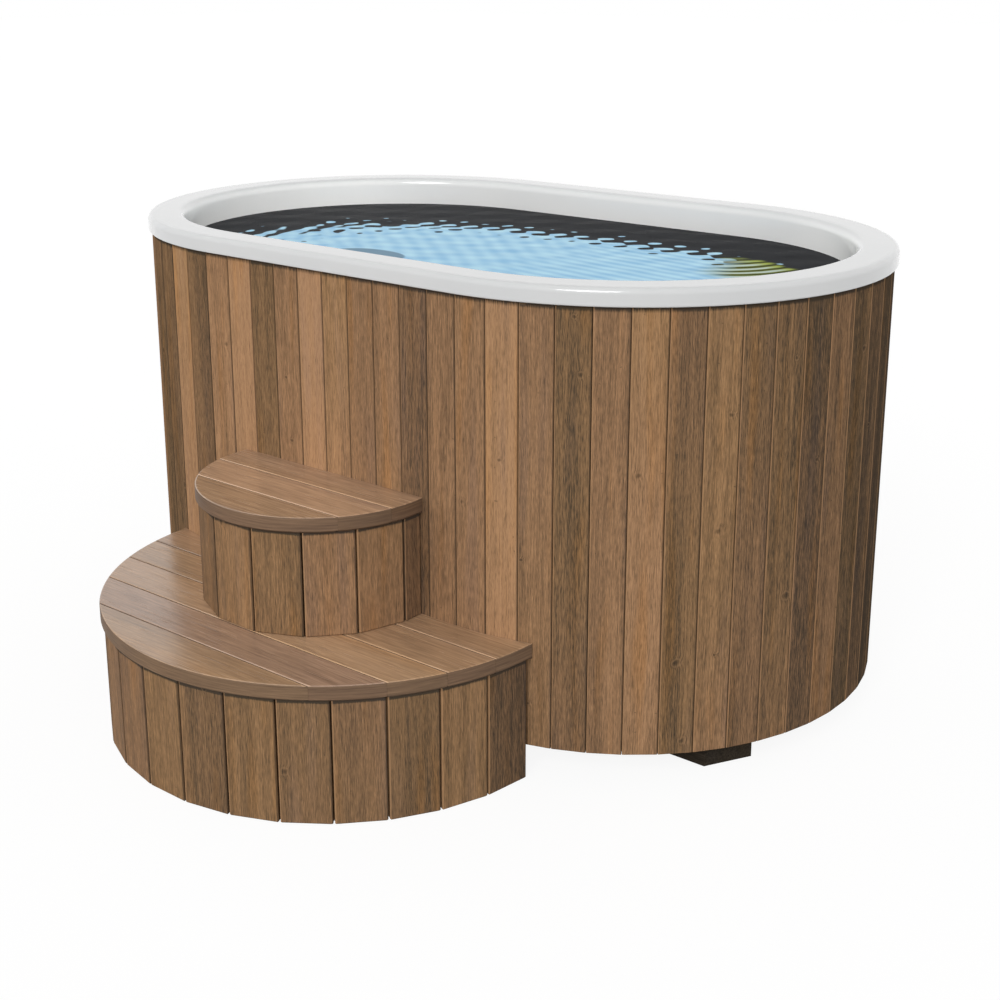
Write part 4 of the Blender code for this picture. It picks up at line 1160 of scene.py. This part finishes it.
def floor_material(tint):
    """Pale floor that looks white and keeps a soft shadow."""
    material = bpy.data.materials.new("pale_floor")
    n = bare_tree(material)
    bounce = n.out("ShaderNodeBsdfDiffuse", {"Color": rgba(tint)})
    lit = n.out("ShaderNodeBsdfDiffuse", {"Color": rgba(FLOOR_LIT)})
    white = n.out("ShaderNodeEmission", {"Color": rgba(WHITE), "Strength": FLOOR_GLOW})
    shown = n.out("ShaderNodeMixShader", {0: FLOOR_GLOW_SHARE, 1: lit, 2: white})
    both = n.out("ShaderNodeMixShader", {0: seen_rays(n), 1: bounce, 2: shown})
    n.add("ShaderNodeOutputMaterial", {"Surface": both})
    return material


class HOTTUB_OT_stage(bpy.types.Operator):
    """Set the floor, the light and the camera"""

    bl_idname = "hottub.stage"
    bl_label = "Stage"

    def execute(self, context):
        scene = context.scene
        look = scene.tub_stage
        corners = FLOOR_HALF * np.array([(-1, -1, 0), (1, -1, 0), (1, 1, 0), (-1, 1, 0)])
        floor = add_mesh("floor", corners, [[0, 1, 2, 3]], floor_material(look.floor))

        lamp = bpy.data.lights.new("key_light", "SUN")
        lamp.energy = look.sun_strength
        lamp.angle = math.radians(SUN_SPREAD)
        sun = add_object("key_light", lamp)
        sun.rotation_euler = Vector(SUN_WAY).to_track_quat("Z", "Y").to_euler()

        world = bpy.data.worlds.new("studio")
        n = bare_tree(world)
        seen = seen_rays(n)
        height = n.split(n.out("ShaderNodeTexCoord", output="Generated"))[2]
        soft = n.span(height, 0.0, 1.0, look.sky_strength, 0.0, smooth=False)
        strength = (1.0 - seen) * soft + seen
        sky = n.out("ShaderNodeBackground", {"Color": rgba(WHITE), "Strength": strength})
        n.add("ShaderNodeOutputWorld", {"Surface": sky})
        scene.world = world
        scene.view_settings.view_transform = "Standard"

        turn = math.radians(look.azimuth)
        rise = math.radians(look.elevation)
        back = Vector((math.sin(turn) * math.cos(rise), -math.cos(turn) * math.cos(rise), math.sin(rise)))
        lens = bpy.data.cameras.new("camera")
        lens.lens = look.lens
        lens.sensor_width = SENSOR_WIDTH
        lens.shift_y = look.shift
        camera = add_object("camera", lens)
        camera.location = Vector(look.target) + back * look.distance
        camera.rotation_euler = (-back).to_track_quat("-Z", "Y").to_euler()
        scene.camera = camera
        return {"FINISHED"}


PIECES = (HOTTUB_OT_shell, HOTTUB_OT_boards, HOTTUB_OT_water, HOTTUB_OT_staves, HOTTUB_OT_treads,
          HOTTUB_OT_base, HOTTUB_OT_drain, HOTTUB_OT_stage)
SETTINGS = {"tub_plan": TubPlan, "tub_shell": ShellShape, "tub_water": WaterLook, "tub_steps": StepShape,
            "tub_finishes": Finishes, "tub_stage": StageLook}


class HOTTUB_PT_panel(bpy.types.Panel):
    """Pieces of the hot tub"""

    bl_idname = "HOTTUB_PT_panel"
    bl_label = "Hot tub"
    bl_space_type = "VIEW_3D"
    bl_region_type = "UI"
    bl_category = "Hot tub"

    def draw(self, context):
        for piece in PIECES:
            self.layout.operator(piece.bl_idname)
        for name in SETTINGS:
            settings = getattr(context.scene, name)
            box = self.layout.box()
            for key in settings.bl_rna.properties.keys():
                if key not in ("rna_type", "name"):
                    box.prop(settings, key)


def register():
    """Register the settings, the operators and the panel."""
    for name, group in SETTINGS.items():
        bpy.utils.register_class(group)
        setattr(bpy.types.Scene, name, PointerProperty(type=group))
    for piece in (*PIECES, HOTTUB_PT_panel):
        bpy.utils.register_class(piece)


def unregister():
    """Remove them again."""
    for piece in (HOTTUB_PT_panel, *reversed(PIECES)):
        bpy.utils.unregister_class(piece)
    for name, group in reversed(SETTINGS.items()):
        delattr(bpy.types.Scene, name)
        bpy.utils.unregister_class(group)


def main():
    """Make every piece."""
    register()
    for piece in PIECES:
        group, call = piece.bl_idname.split(".")
        getattr(getattr(bpy.ops, group), call)()


if __name__ == "__main__":
    main()
